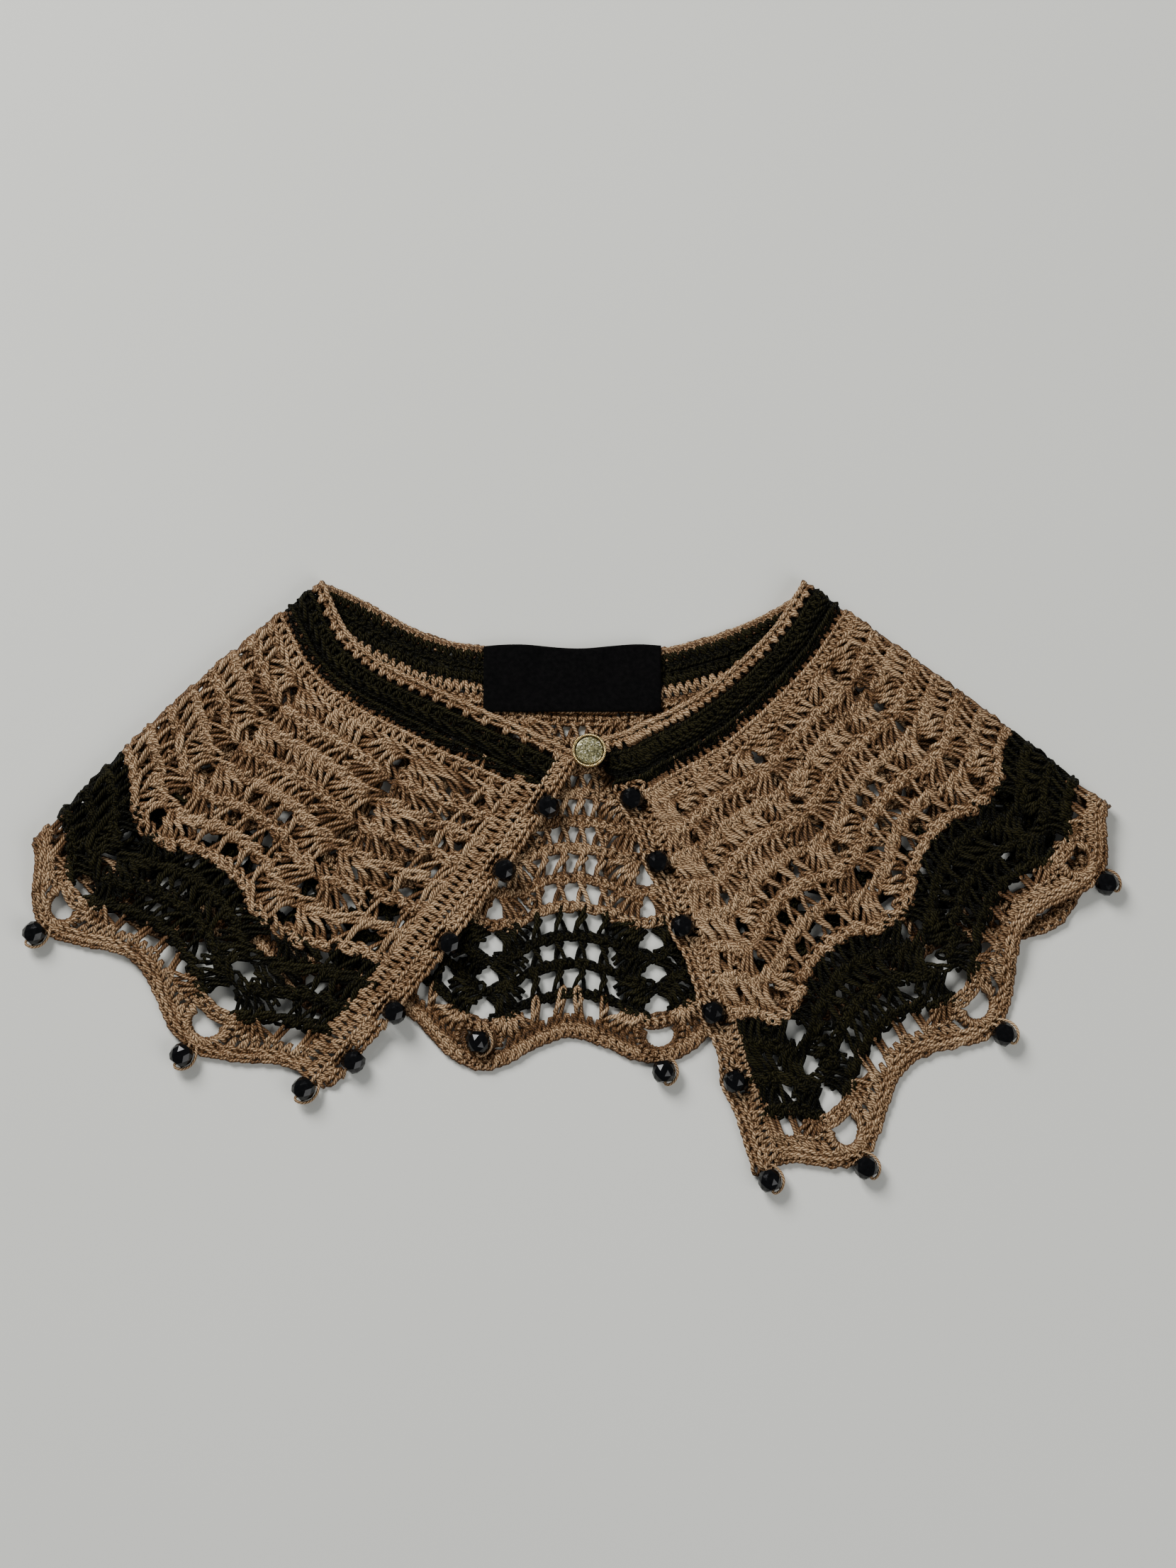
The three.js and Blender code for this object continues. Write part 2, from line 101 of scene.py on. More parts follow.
LEFT_RAYS, BACK_RAYS, RIGHT_RAYS = (np.array(rays, float) for rays in (RAYS[:5], RAYS[4:12], RAYS[11:]))
print("rays:", len(LEFT_RAYS), "left,", len(BACK_RAYS), "back,", len(RIGHT_RAYS), "right")


# %% Small mathematics
def smooth_step(t):
    """Eased share: 3 t squared minus 2 t cubed, held at 0 and 1."""
    s = np.clip(t, 0, 1)
    return s * s * (3 - 2 * s)


def mix(a, b, t):
    """Straight blend of a and b by the share t."""
    return a + (b - a) * t


def bell(distance, width):
    """1 at no distance, falling on both sides as the exponential of minus its square."""
    return np.exp(-((distance / width) ** 2))


def through(knots, values, u):
    """Hermite curve through values at knots; a knot's slope is the mean of its two segments'."""
    k = np.searchsorted(knots[1:-1], u, side="left")
    slopes = np.diff(values) / np.diff(knots)
    inner = (slopes[:-1] + slopes[1:]) / 2
    before = np.concatenate([slopes[:1], inner])[k]
    after = np.concatenate([inner, slopes[-1:]])[k]
    span = (knots[1:] - knots[:-1])[k]
    t = (u - knots[k]) / span
    ends = (2 * t**3 - 3 * t**2 + 1) * values[k] + (3 * t**2 - 2 * t**3) * values[k + 1]
    return ends + span * ((t**3 - 2 * t**2 + t) * before + (t**3 - t**2) * after)


def unit(vectors):
    """Vectors divided by their own length."""
    return vectors / np.maximum(np.linalg.norm(vectors, axis=-1, keepdims=True), 1e-9)


# %% From the chart to space
STEP_U = 0.002
STEP_ROW = 0.05


def columnness(u):
    """1 on a shell column and 0 in a valley: the square of sin(pi u), 0 on the front edgings."""
    return np.where((u < 0) | (u > REPEATS), 0, np.sin(math.pi * u) ** 2)


def reach(u, row):
    """Distance from the neck: the row itself plus a rise that grows to TIP_RISE at a hem tip."""
    rise = TIP_RISE * np.maximum(0, row - SCALLOP_START) / (HEM_END - SCALLOP_START)
    return row + rise * columnness(u)


def repeat_width(distance):
    """Width of one repeat, growing in a straight line from the neck to a hem tip."""
    return mix(NECK_REPEAT, TIP_REPEAT, distance / (HEM_END + TIP_RISE))


def plan_on(table, u, distance):
    """Seen from above: neck point, plus the ray's direction times the distance, plus its bow."""
    knots = table[:, 0]
    along_x = through(knots, (table[:, 3] - table[:, 1]) / table[:, 5], u)
    along_y = through(knots, (table[:, 4] - table[:, 2]) / table[:, 5], u)
    t = np.clip(distance / HEM_END, 0, 1)
    bow = through(knots, table[:, 6], u) * 4 * t * (1 - t)
    size = np.hypot(along_x, along_y)
    x = through(knots, table[:, 1], u) + along_x * distance - bow * along_y / size
    y = through(knots, table[:, 2], u) + along_y * distance + bow * along_x / size
    return x, y


def plan(u, distance):
    """The ray table of the panel that u lies on gives the place."""
    left, back, right = (plan_on(table, u, distance) for table in (LEFT_RAYS, BACK_RAYS, RIGHT_RAYS))
    panel = [u < SHOULDERS[0], u <= SHOULDERS[1]]
    return [np.select(panel, [left[axis], back[axis]], right[axis]) for axis in range(2)]


def front_level(u, distance):
    """Height of a front: over the back with a lift at the neck, and down to the floor past it."""
    over = CLOTH + SHELL_PUFF + SEAM_GAP + CLOTH / 2
    lifted = over + NECK_LIFT * bell(distance, NECK_LIFT_REACH)
    drops = [through(table[:, 0], table[:, 7], u) for table in (LEFT_RAYS, RIGHT_RAYS)]
    drop = np.where(u < SHOULDERS[0], *drops)
    return mix(lifted, CLOTH / 2, smooth_step((distance - drop) / DROP_RUN))


def middle(u, row):
    """Middle of the cloth in mm: the fold is a half circle, then the front settles on the back."""
    distance = reach(u, row)
    width = repeat_width(distance)
    fold = np.where(np.abs(u - SHOULDERS[0]) < np.abs(u - SHOULDERS[1]), *SHOULDERS)
    away = np.abs(u - fold) * width
    angle = np.minimum(away / FOLD_RADIUS, math.pi / 2)
    slack = (QUARTER_TURN - FOLD_RADIUS) * np.clip(1 - (away - QUARTER_TURN) / SLACK_RUN, 0, 1)
    inset = np.where(away < QUARTER_TURN, FOLD_RADIUS * (1 - np.cos(angle)), away - slack)
    x, y = plan(fold + np.sign(u - fold) * inset / width, distance)
    lift = FOLD_RADIUS * np.sin(angle)
    centre = CLOTH / 2 + FOLD_RADIUS
    settled = smooth_step((away - QUARTER_TURN) / SETTLE)
    front = mix(centre + lift, front_level(u, distance), settled)
    on_back = (u >= SHOULDERS[0]) & (u <= SHOULDERS[1])
    return np.stack([x, y, np.where(on_back, centre - lift, front)], -1)


def cloth(u, row, height):
    """Place in mm of a point that stands `height` out of the right side of the cloth."""
    u, row, height = np.broadcast_arrays(*(np.asarray(v, float) for v in (u, row, height)))
    along_u = middle(u + STEP_U, row) - middle(u - STEP_U, row)
    along_row = middle(u, row + STEP_ROW) - middle(u, row - STEP_ROW)
    normal = unit(np.cross(along_u, along_row))
    return middle(u, row) + normal * height[..., None] + PLACE + np.array([0, 0, STITCH_LIFT])


hem_line = cloth(np.linspace(0, REPEATS, 500), HEM_END, 0)
print("hem spans", np.ptp(hem_line[:, 0]).round(1), "by", np.ptp(hem_line[:, 1]).round(1), "mm")

# %% [markdown]
# ## Yarn
# A crochet stitch is one strand that runs down, round and up again. Each kind of stitch gets one
# centre line, and `work` sets that line between the base and the top of every stitch of its kind
# at once. `sweep` then carries a five-sided ring along all the lines together, which keeps a
# stitch to a few dozen faces. The yarn's twist is left to its material, which reads the distance
# round and along the strand from the UV map.


# %% Smooth centre lines and swept strands
# Depth in mm over which yarn near the cloth's middle level gets painted shade
PROUD = 1.05
CLOSE_TO_UPRIGHT = 0.9
chance = np.random.default_rng(11)


def smooth_path(points, stations):
    """Catmull-Rom curve: in each span a cubic whose end slopes are half its neighbours' chord."""
    p = np.asarray(points, float)
    p = np.vstack([2 * p[0] - p[1], p, 2 * p[-1] - p[-2]])
    t = np.linspace(0, len(points) - 1, stations)
    k = np.minimum(t.astype(int), len(points) - 2)
    f = (t - k)[:, None]
    a, b, c, d = p[k], p[k + 1], p[k + 2], p[k + 3]
    square, cube = 2 * a - 5 * b + 4 * c - d, 3 * b - a - 3 * c + d
    return 0.5 * (2 * b + (c - a) * f + square * f**2 + cube * f**3)


def ring_frames(centres):
    """Tangents and two sideways directions, carried from station to station without twist."""
    tangents = unit(np.gradient(centres, axis=1))
    upright = np.abs(tangents[:, 0, 2:]) > CLOSE_TO_UPRIGHT
    carried = np.where(upright, [[1.0, 0, 0]], [[0, 0, 1.0]])
    sideways = np.empty_like(centres)
    for station in range(centres.shape[1]):
        tangent = tangents[:, station]
        carried = unit(carried - (carried * tangent).sum(-1, keepdims=True) * tangent)
        sideways[:, station] = carried
    return sideways, np.cross(tangents, sideways)


def strand_map(centres, sides):
    """Corners of the UV map: share of the way round, and mm along the strand."""
    count, stations, _ = centres.shape
    steps = np.linalg.norm(np.diff(centres, axis=1), axis=-1)
    along = np.concatenate([np.zeros((count, 1)), np.cumsum(steps, 1)], 1)
    around = np.arange(sides + 1) / sides
    uv = np.zeros((count, stations - 1, sides, 4, 2))
    uv[..., [0, 3], 0] = around[:-1, None]
    uv[..., [1, 2], 0] = around[1:, None]
    uv[..., [0, 1], 1] = along[:, :-1, None, None]
    uv[..., [2, 3], 1] = along[:, 1:, None, None]
    return uv.reshape(-1, 2)


def sweep(lines, radius, sides=5):
    """Tubes round many centre lines: centre + radius (cos a sideways + sin a upwards), none of
    them lower than the surface that the collar lies on. A fourth number at a station is the level
    of the cloth's middle there; how far a point stands from it, up to PROUD mm, becomes its share
    of painted light: yarn deep in the cloth gets painted shade, and yarn that stands out keeps its full
    colour."""
    centres = lines[..., :3].copy()
    centres[..., 2] = np.maximum(centres[..., 2], radius)
    count, stations, _ = centres.shape
    sideways, upwards = ring_frames(centres)
    angle = 2 * math.pi * np.arange(sides) / sides
    turn = np.cos(angle)[:, None] * sideways[:, :, None] + np.sin(angle)[:, None] * upwards[:, :, None]
    points = centres[:, :, None] + turn * radius
    painted_light_by_depth = np.ones(points.shape[:3])
    if lines.shape[-1] == 4:
        painted_light_by_depth = np.clip(np.abs(points[..., 2] - lines[:, :, 3:]) / PROUD, 0, 1)
    index = np.arange(count * stations * sides).reshape(count, stations, sides)
    here, there = index[:, :-1], index[:, 1:]
    quads = np.stack([here, np.roll(here, -1, 2), np.roll(there, -1, 2), there], -1)
    caps = np.stack([index[:, 0, ::-1], index[:, -1]], 1)
    return {
        "points": points.reshape(-1, 3),
        "quads": quads.reshape(-1, 4),
        "caps": caps.reshape(-1, sides),
        "uv": strand_map(centres, sides),
        "tone": np.repeat(chance.random(count), stations * sides),
        "painted_light_by_depth": painted_light_by_depth.ravel(),
    }


def joined(parts):
    """Several meshes as one: each one's faces count on from the points before it."""
    starts = np.cumsum([0] + [len(part["points"]) for part in parts])
    whole = {}
    for key in parts[0]:
        shifts = starts if key in ("quads", "caps") else 0 * starts
        whole[key] = np.concatenate([part[key] + shift for part, shift in zip(parts, shifts)])
    return whole


def plain_shape(points, faces, caps=None):
    """A mesh that isn't yarn, without a map or a tone."""
    zeros = np.zeros(len(points))
    caps = np.zeros((0, 3), int) if caps is None else caps
    uv = np.zeros((faces.size, 2))
    return {"points": points, "quads": faces, "caps": caps, "uv": uv, "tone": zeros, "painted_light_by_depth": zeros}


# %% From arrays to an object
made_triangles = {}


def placed(name, data):
    """A new object in the scene, with the given mesh, light or camera."""
    piece = bpy.data.objects.new(name, data)
    bpy.context.scene.collection.objects.link(piece)
    return piece


def make_object(name, shape, material, nodes=(), smooth=True):
    """Points in mm and faces become one object on the body, which stands for the given nodes."""
    mesh = bpy.data.meshes.new(name)
    points = (shape["points"] / 1000).astype(np.float32)
    quads, caps = shape["quads"], shape["caps"]
    corners = np.concatenate([quads.ravel(), caps.ravel()]).astype(np.int32)
    sizes = np.concatenate([np.full(len(faces), faces.shape[1]) for faces in (quads, caps)])
    mesh.vertices.add(len(points))
    mesh.vertices.foreach_set("co", points.ravel())
    mesh.loops.add(len(corners))
    mesh.loops.foreach_set("vertex_index", corners)
    mesh.polygons.add(len(sizes))
    mesh.polygons.foreach_set("loop_start", (np.cumsum(sizes) - sizes).astype(np.int32))
    mesh.polygons.foreach_set("use_smooth", np.full(len(sizes), smooth))
    uv = np.zeros((len(corners), 2), np.float32)
    uv[: len(shape["uv"])] = shape["uv"]
    mesh.uv_layers.new(name="yarn").data.foreach_set("uv", uv.ravel())
    for key in ("tone", "painted_light_by_depth"):
        layer = mesh.attributes.new(key, "FLOAT", "POINT")
        layer.data.foreach_set("value", shape[key].astype(np.float32))
    mesh.update(calc_edges=True)
    mesh.validate()
    mesh.materials.append(material)
    piece = placed(name, mesh)
    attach(piece, "root")
    if nodes:
        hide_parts(*nodes)
    made_triangles[name] = int((sizes - 2).sum())
    print(f"{name}: {made_triangles[name]} triangles")
    return piece


# %% [markdown]
# ## The kinds of stitch
# A double crochet is a tall post: two legs of yarn that cross, with one strand lying diagonally
# over them where the yarn was passed over the hook. A single crochet is a short V. A chain stitch
# is a flat teardrop loop, and a line of them makes the braid along the top of a row. An arch is
# the round head of a stitch beside it, and a hooked loop hangs over the row before. Each is drawn
# as (mm across, share of the height, mm out).


# %% Centre lines of the stitches
def mirrored(half):
    """A symmetric line: its left half up to the middle point, and the same back on the right."""
    return half + [(-across, share, out) for across, share, out in half[-2::-1]]


NET_LEGS = smooth_path(
    [
        (-1.5, 1.02, -0.05), (-1.3, 0.78, 0.35), (-0.7, 0.52, 0.85), (0.5, 0.28, 0.8), (0.7, 0.08, 0.95),
        (0.0, -0.1, 0.2),
        (-0.7, 0.08, 0.95), (-0.5, 0.28, 0.1), (0.7, 0.52, 0.05), (1.3, 0.78, 0.3), (1.5, 1.02, -0.05),
    ],
    12,
)
FAN_LEGS = smooth_path(
    [
        (-0.95, 1.02, -0.05), (-0.9, 0.82, 0.35), (-0.5, 0.58, 0.9), (0.05, 0.36, 0.8), (0.25, 0.12, 0.4),
        (0.0, -0.06, 0.05),
        (-0.25, 0.12, 0.3), (-0.05, 0.36, 0.15), (0.5, 0.58, 0.2), (0.9, 0.82, 0.35), (0.95, 1.02, -0.05),
    ],
    12,
)
WRAP = smooth_path(
    [
        (0.7, 0.88, -1.0), (-0.95, 0.82, -0.2), (-1.15, 0.7, 0.8),
        (0.1, 0.52, 1.3), (1.2, 0.36, 0.7), (0.8, 0.28, -0.9),
    ],
    7,
)
SHORT = smooth_path(
    mirrored([(-1.15, 1.0, -0.4), (-1.05, 0.62, 0.55), (-0.4, 0.1, 0.8), (0.0, -0.25, 0.0)]),
    8,
)
LINK = smooth_path(
    mirrored(
        [(-0.1, 0.0, -0.5), (-0.75, 0.26, 0.35), (-1.3, 0.6, 0.4), (-0.95, 0.92, -0.2), (0.0, 1.06, -0.55)]
    ),
    9,
)
ARCH = smooth_path(
    [
        (-1.3, -0.9, -0.3), (-1.3, 0.1, 0.5), (-0.55, 0.95, 0.6),
        (0.5, 1.0, 0.2), (1.25, 0.3, -0.2), (1.3, -0.7, -0.5),
    ],
    7,
)
HOOK_LOOP = smooth_path(
    [
        (-0.85, 1.0, -0.2), (-0.8, 0.7, 0.5), (-0.95, 0.35, 0.8), (-0.85, 0.08, 0.7),
        (0.0, -0.08, 0.4),
        (0.85, 0.08, 0.5), (0.75, 0.35, 0.4), (0.6, 0.7, 0.3), (0.85, 1.0, -0.2),
    ],
    11,
)


# %% Setting a stitch between its base and its top
YARN = 0.74
THIN_YARN = 0.64
WIDTH_STEP = 0.004


def turned(template, angle):
    """The template turned about its own length, so that its face looks up or along the row."""
    across, share, out = template.T
    c, s = math.cos(angle), math.sin(angle)
    return np.stack([across * c - out * s, share, across * s + out * c], 1)


def local_width(u, row):
    """Millimetres to one repeat at a chart point: the length of the chart's own step along u."""
    step = middle(u + WIDTH_STEP, row) - middle(u - WIDTH_STEP, row)
    return np.linalg.norm(step, axis=-1) / (2 * WIDTH_STEP)


def work(template, base, top, flip=1.0, swell=1.0, jitter=0.14, slim=1.0, bow=0.0):
    """Every stitch: base + share (top - base), across at right angles to it, and out of the cloth.
    `bow` bends a stitch sideways by 4 bow share (1 - share). Each line's fourth number is the level
    of the cloth's middle."""
    ends = [np.asarray(v, float) for v in (*base, *top)]
    u0, row0, u1, row1 = (np.atleast_1d(v) for v in np.broadcast_arrays(*ends))
    width = local_width((u0 + u1) / 2, (row0 + row1) / 2)
    run, climb = (u1 - u0) * width, row1 - row0
    size = np.maximum(np.hypot(run, climb), 1e-6)
    wobble = chance.normal(0, jitter, (4, len(u0), 1))
    share = template[:, 1]
    slim, bow = (np.broadcast_to(value, len(u0))[:, None] for value in (slim, bow))
    across = template[:, 0] * (slim * (1 + wobble[2])) + wobble[0] + wobble[3] * np.sin(4 * share)
    across = across + 4 * bow * share * (1 - share)
    out = ((template[:, 2] - template[:, 2].mean()) * swell + wobble[1]) * flip
    u = u0[:, None] + share * (u1 - u0)[:, None] + across * (climb / size / width)[:, None]
    row = row0[:, None] + share * (row1 - row0)[:, None] - across * (run / size)[:, None]
    level = middle(u, row)[..., 2:] + STITCH_LIFT
    return np.concatenate([cloth(u, row, out), level], -1)


def stitches(template, base, top, yarn=YARN, **more):
    """Swept strands of one kind of stitch, in a list of their own."""
    return [sweep(work(template, base, top, **more), yarn)]


def posts(base, top, flip, legs=FAN_LEGS, **more):
    """Double crochets: two legs, and the strand that lies across them."""
    made = stitches(legs, base, top, flip=flip, swell=1.15, **more)
    return made + stitches(WRAP, base, top, THIN_YARN, flip=flip, jitter=0.1, **more)


print("stations:", {"net": len(NET_LEGS), "fan": len(FAN_LEGS), "wrap": len(WRAP), "short": len(SHORT)})

# %% [markdown]
# ## Laying out the rows
# A shell is eight posts that fan out of one eyelet, four to each side. Between the shells lies a
# net of single posts. On the back they stand apart and leave squares; on the fronts more posts
# between them make a close zigzag, which opens again in the body's last rows. The eye reads the
# rows by their tops, so each is closed by a line of chain loops, with a round head beside each.

# %% The plan of a shell and of the net, in mm
STITCH = 2.6
TOP_TILT = 0.3
SLANT = 0.8
LINK_HALF = 0.78
LINK_SWELL = 0.65
ARCH_UP = (-0.3, 0.7)
ARCH_DOWN = (0.4, -0.6)
SHELL_BASES = np.array([0.8, 1.6, 2.3, 2.9])
SHELL_STARTS = np.array([0.3, -0.2, -0.7, -1.1])
SHELL_SHARES = np.array([0.93, 0.94, 0.84, 0.62])
SHELL_BOWS = np.array([0.6, 0.8, 1.0, 1.3])
UPPER_TOPS = np.array([3.7, 6.5, 9.5, 12.3])
LOWER_TOPS = np.array([4.8, 7.3, 9.9, 12.4])
LOWER_START = 55
BAND_BASES = np.array([1.0, 1.9, 2.7, 3.4])
BAND_STARTS = np.array([1.2, 0.2, -0.6, -1.1])
BAND_TOPS = np.array([6.0, 8.1, 10.4, 12.6])
BAND_BOWS = np.array([1.2, 1.2, 1.2, 1.3])
BODY_CLEAR = 2.5
BAND_CLEAR = 5
TIP_OPEN = 4.4
NET_EDGE = 14.0
NET_PITCH = 7.4
FULL_PITCH = 5
WIDEST_POST = 1.15
HOOK = 2.1
EDGE_POST = 0.03
EDGE_FREE = 0.06
FOLD_FREE = 0.25

# What differs on the fronts
FRONT_FROM = 0.1
FRONT_WIDEN = 1.05
FRONT_STEP = 0.55
FRONT_SLANT = 1.9
ZIGZAG = 1.1
BACK_LEAN = 0.15
OPEN_START = 58

# Lobes along a row, by the distance from the shell column
PLATEAU = 1.7
PLATEAU_END = 13.5
PLATEAU_FALL = 5
LOBE = 1.1
LOBE_PLACE = 7
LOBE_WIDTH = 3.4
BODY_SAG = 0.4
BAND_SAG = 2.2
SAG_WIDTH = 2.8
SHORTFALL = 3
SHALLOW = 0.25
DEEPEN_START = 45
DEEPEN_RUN = 45
SAG_START = 82
SAG_RUN = 12


def offset_from_column(u, row):
    """Millimetres along the row from the nearest shell column."""
    return np.abs(u - np.floor(u) - 0.5) * repeat_width(row)


def ripple(u, row):
    """Lobes of a shell's edge: a plateau that falls steeply to the valley, a little more at
    LOBE_PLACE, and on the column the sag of an eyelet's bar. They deepen from the middle of the
    body on. Near the columns the rows also fall short of the solid's even bow, by SHORTFALL at the
    band's end."""
    offset = offset_from_column(u, row)
    deep = mix(SHALLOW, 1, smooth_step((row - DEEPEN_START) / DEEPEN_RUN))
    sag = mix(BODY_SAG, BAND_SAG, smooth_step((row - SAG_START) / SAG_RUN))
    plateau = PLATEAU * smooth_step((PLATEAU_END - offset) / PLATEAU_FALL)
    lobes = LOBE * bell(offset - LOBE_PLACE, LOBE_WIDTH) + sag * bell(offset, SAG_WIDTH) + plateau
    short = SHORTFALL * (row - SCALLOP_START) / (CONTRAST_END - SCALLOP_START)
    return deep * lobes - np.clip(short, 0, SHORTFALL) * columnness(u)


def on_fronts(u):
    """True on the two fronts, whose net is worked tighter than the back's."""
    return (u < SHOULDERS[0] + FRONT_FROM) | (u > SHOULDERS[1] - FRONT_FROM)


def side_by_side(start, end, count):
    """Middles of `count` equal parts of the way from start to end."""
    return start + (end - start) * (np.arange(count) + 0.5) / count


def spread(start, end, row, spacing=STITCH):
    """Middles of stitches set side by side along a row."""
    return side_by_side(start, end, max(int(round((end - start) * repeat_width(row) / spacing)), 1))


def strip_rows(start, end, spacing=STITCH):
    """Stitches along a front edge, side by side from row to row."""
    return side_by_side(start, end, int(round((end - start) / spacing)))


def at_columns(marks):
    """The same marks, in repeats, about every shell column."""
    return (np.arange(REPEATS)[:, None] + 0.5 + marks).ravel()


def both_sides(numbers, mirror=-1):
    """The same numbers to the left, in mirror order, and to the right."""
    return np.concatenate([mirror * numbers[::-1], numbers])


def worked_side(number):
    """Rows are worked turn about, so every other row shows its other side."""
    return 1.0 if number % 2 else -1.0


# %% Loops along the tops
def links(u, half, line, slant, tilt=TOP_TILT, **more):
    """Slanted chain loops, each from `half` repeats before its place to as far after it."""
    return stitches(turned(LINK, tilt), (u - half, line + slant), (u + half, line - slant), **more)


def plain_tops(row, start, end, spacing=STITCH, tilt=0.2, slant=0.3):
    """Chain loops along a straight row."""
    u = spread(start, end, row, spacing)
    return links(u, LINK_HALF * spacing / repeat_width(row), row, slant, tilt, swell=LINK_SWELL)


def pattern_tops(row, slant, open_half):
    """Chain loops along a pattern row's lobes, with a round head beside each, and a second one on
    the fronts. Nothing is set within `open_half` mm of a shell column."""
    u = spread(0, REPEATS, row)
    u = u[offset_from_column(u, row) >= open_half]
    half = LINK_HALF * STITCH / repeat_width(row)
    front = on_fronts(u)
    line = row + ripple(u, row) + np.where(front, FRONT_STEP, 0) * np.where(np.arange(u.size) % 2, 1, -1)
    slants = np.where(front, FRONT_SLANT * slant, slant)
    made = links(u, half, line, slants, swell=LINK_SWELL, jitter=0.2)
    clear = offset_from_column(u, row) > (BAND_CLEAR if row > BODY_END else BODY_CLEAR)
    u, line = u[clear], line[clear]
    made += stitches(ARCH, *((u, line + shift) for shift in ARCH_UP), jitter=0.15)
    front = on_fronts(u)
    u, line = u[front] + half / 2, line[front]
    return made + stitches(ARCH, *((u, line + shift) for shift in ARCH_DOWN), jitter=0.15)


def column_tops(u, start, end, tilt=TOP_TILT, shift=None):
    """The same loops along a front edge, from row to row; shift moves the line in repeats."""
    count = max(int(round((end - start) / STITCH)), 1)
    step = (end - start) / count
    centre = start + step * (np.arange(count) + 0.5)
    rows = centre - LINK_HALF * step, centre + LINK_HALF * step
    before, after = ((u + (shift(row) if shift else 0), row) for row in rows)
    return stitches(turned(LINK, tilt), before, after, jitter=0.08)


# %% Fans, net and whole rows
def shell_plan(row0):
    """Bases, starts, tops and bows of a fan's posts: eyelets grow to the hem, and again in the band."""
    if row0 >= BODY_END:
        return BAND_BASES, BAND_STARTS, BAND_TOPS, BAND_BOWS
    return SHELL_BASES, SHELL_STARTS, LOWER_TOPS if row0 > LOWER_START else UPPER_TOPS, SHELL_BOWS


def shell_row(number, row0, row1):
    """Fans of eight posts at every column, from round its eyelet to the row's top."""
    width = repeat_width((row0 + row1) / 2)
    bases, starts, tops, bows = shell_plan(row0)
    base_u, top_u = (at_columns(both_sides(marks) / width) for marks in (bases, tops))
    start = row0 + ripple(base_u, row0) + np.tile(both_sides(starts, 1), REPEATS)
    share = np.tile(both_sides(SHELL_SHARES, 1), REPEATS)
    top_row = mix(row0, row1, share) + ripple(top_u, row1)
    bow = np.tile(both_sides(bows), REPEATS)
    return posts((base_u, start), (top_u, top_row), worked_side(number), bow=bow)


def net_pitch(row, count):
    """Millimetres between the posts of the net, less where the repeat is narrow."""
    return min(NET_PITCH, (repeat_width(row) - 2 * NET_EDGE) / (count - 1))


def net_marks(centres, row, count, number):
    """Posts about each centre, in repeats: `number` of them, at the pitch of a net of `count`."""
    marks = (np.arange(number) - (number - 1) / 2) * net_pitch(row, count) / repeat_width(row)
    return (np.array(centres)[:, None] + marks).ravel()


def inside(u):
    """True away from the two front edges."""
    return (u > EDGE_FREE) & (u < REPEATS - EDGE_FREE)


def net_places(row, count):
    """Posts of the net, centred on every valley, and one inside each front edge."""
    u = net_marks(range(REPEATS + 1), row, count, count)
    return np.concatenate([u[inside(u)], [EDGE_POST, REPEATS - EDGE_POST]])


def between_places(row, count):
    """Posts between those of the net on the two fronts, away from the folds."""
    u = net_marks(range(REPEATS + 1), row, count, count - 1)
    return u[on_fronts(u) & (np.abs(u[:, None] - SHOULDERS).min(1) > FOLD_FREE) & inside(u)]


def net_row(number, row0, row1, count):
    """Single posts between the shells, hooked over the row before, with squares between them, and
    with more posts at the two folds, where the cloth is closest. On the fronts more posts stand
    between them and lean the other way, which makes a close zigzag, but not in the body's last
    rows, which are as open as the back."""
    row = (row0 + row1) / 2
    straight = np.concatenate([net_places(row, count), net_marks(SHOULDERS, row, count, count + 1)])
    closed = row0 < OPEN_START or row0 >= BODY_END
    between = between_places(row, count) if closed else np.zeros(0)
    u = np.concatenate([straight, between])
    zigzag = ZIGZAG / repeat_width(row) * worked_side(number)
    lean = np.where(on_fronts(u), zigzag, BACK_LEAN * zigzag) + chance.normal(0, 0.01, u.size)
    lean[straight.size :] *= -1
    slim = min(WIDEST_POST, net_pitch(row, count) / FULL_PITCH) * np.where(on_fronts(u), FRONT_WIDEN, 1)
    return posts((u - lean, row0 - HOOK), (u + lean, row1 - 0.4), worked_side(number), NET_LEGS, slim=slim)


def shell_and_net(number, row0, row1, count, last=False):
    """One whole pattern row: its fans, its net and the loops along its top. No loops close the last
    row's fans, so that a hole opens above the hem at each tip."""
    tops = pattern_tops(row1 - 0.7, SLANT * worked_side(number), TIP_OPEN if last else 0)
    return shell_row(number, row0, row1) + net_row(number, row0, row1, count) + tops


def short_row(number, row0, row1, start, end, spacing=3.0):
    """A row of single crochets with the loops along its top."""
    u = spread(start, end, (row0 + row1) / 2, spacing)
    side = worked_side(number)
    legs = stitches(SHORT, (u, row0 - 0.6), (u, row1 - 0.4), flip=side, swell=1.3, slim=1.1)
    return legs + plain_tops(row1 - 0.2, start, end, spacing, tilt=0.5, slant=SLANT * side)
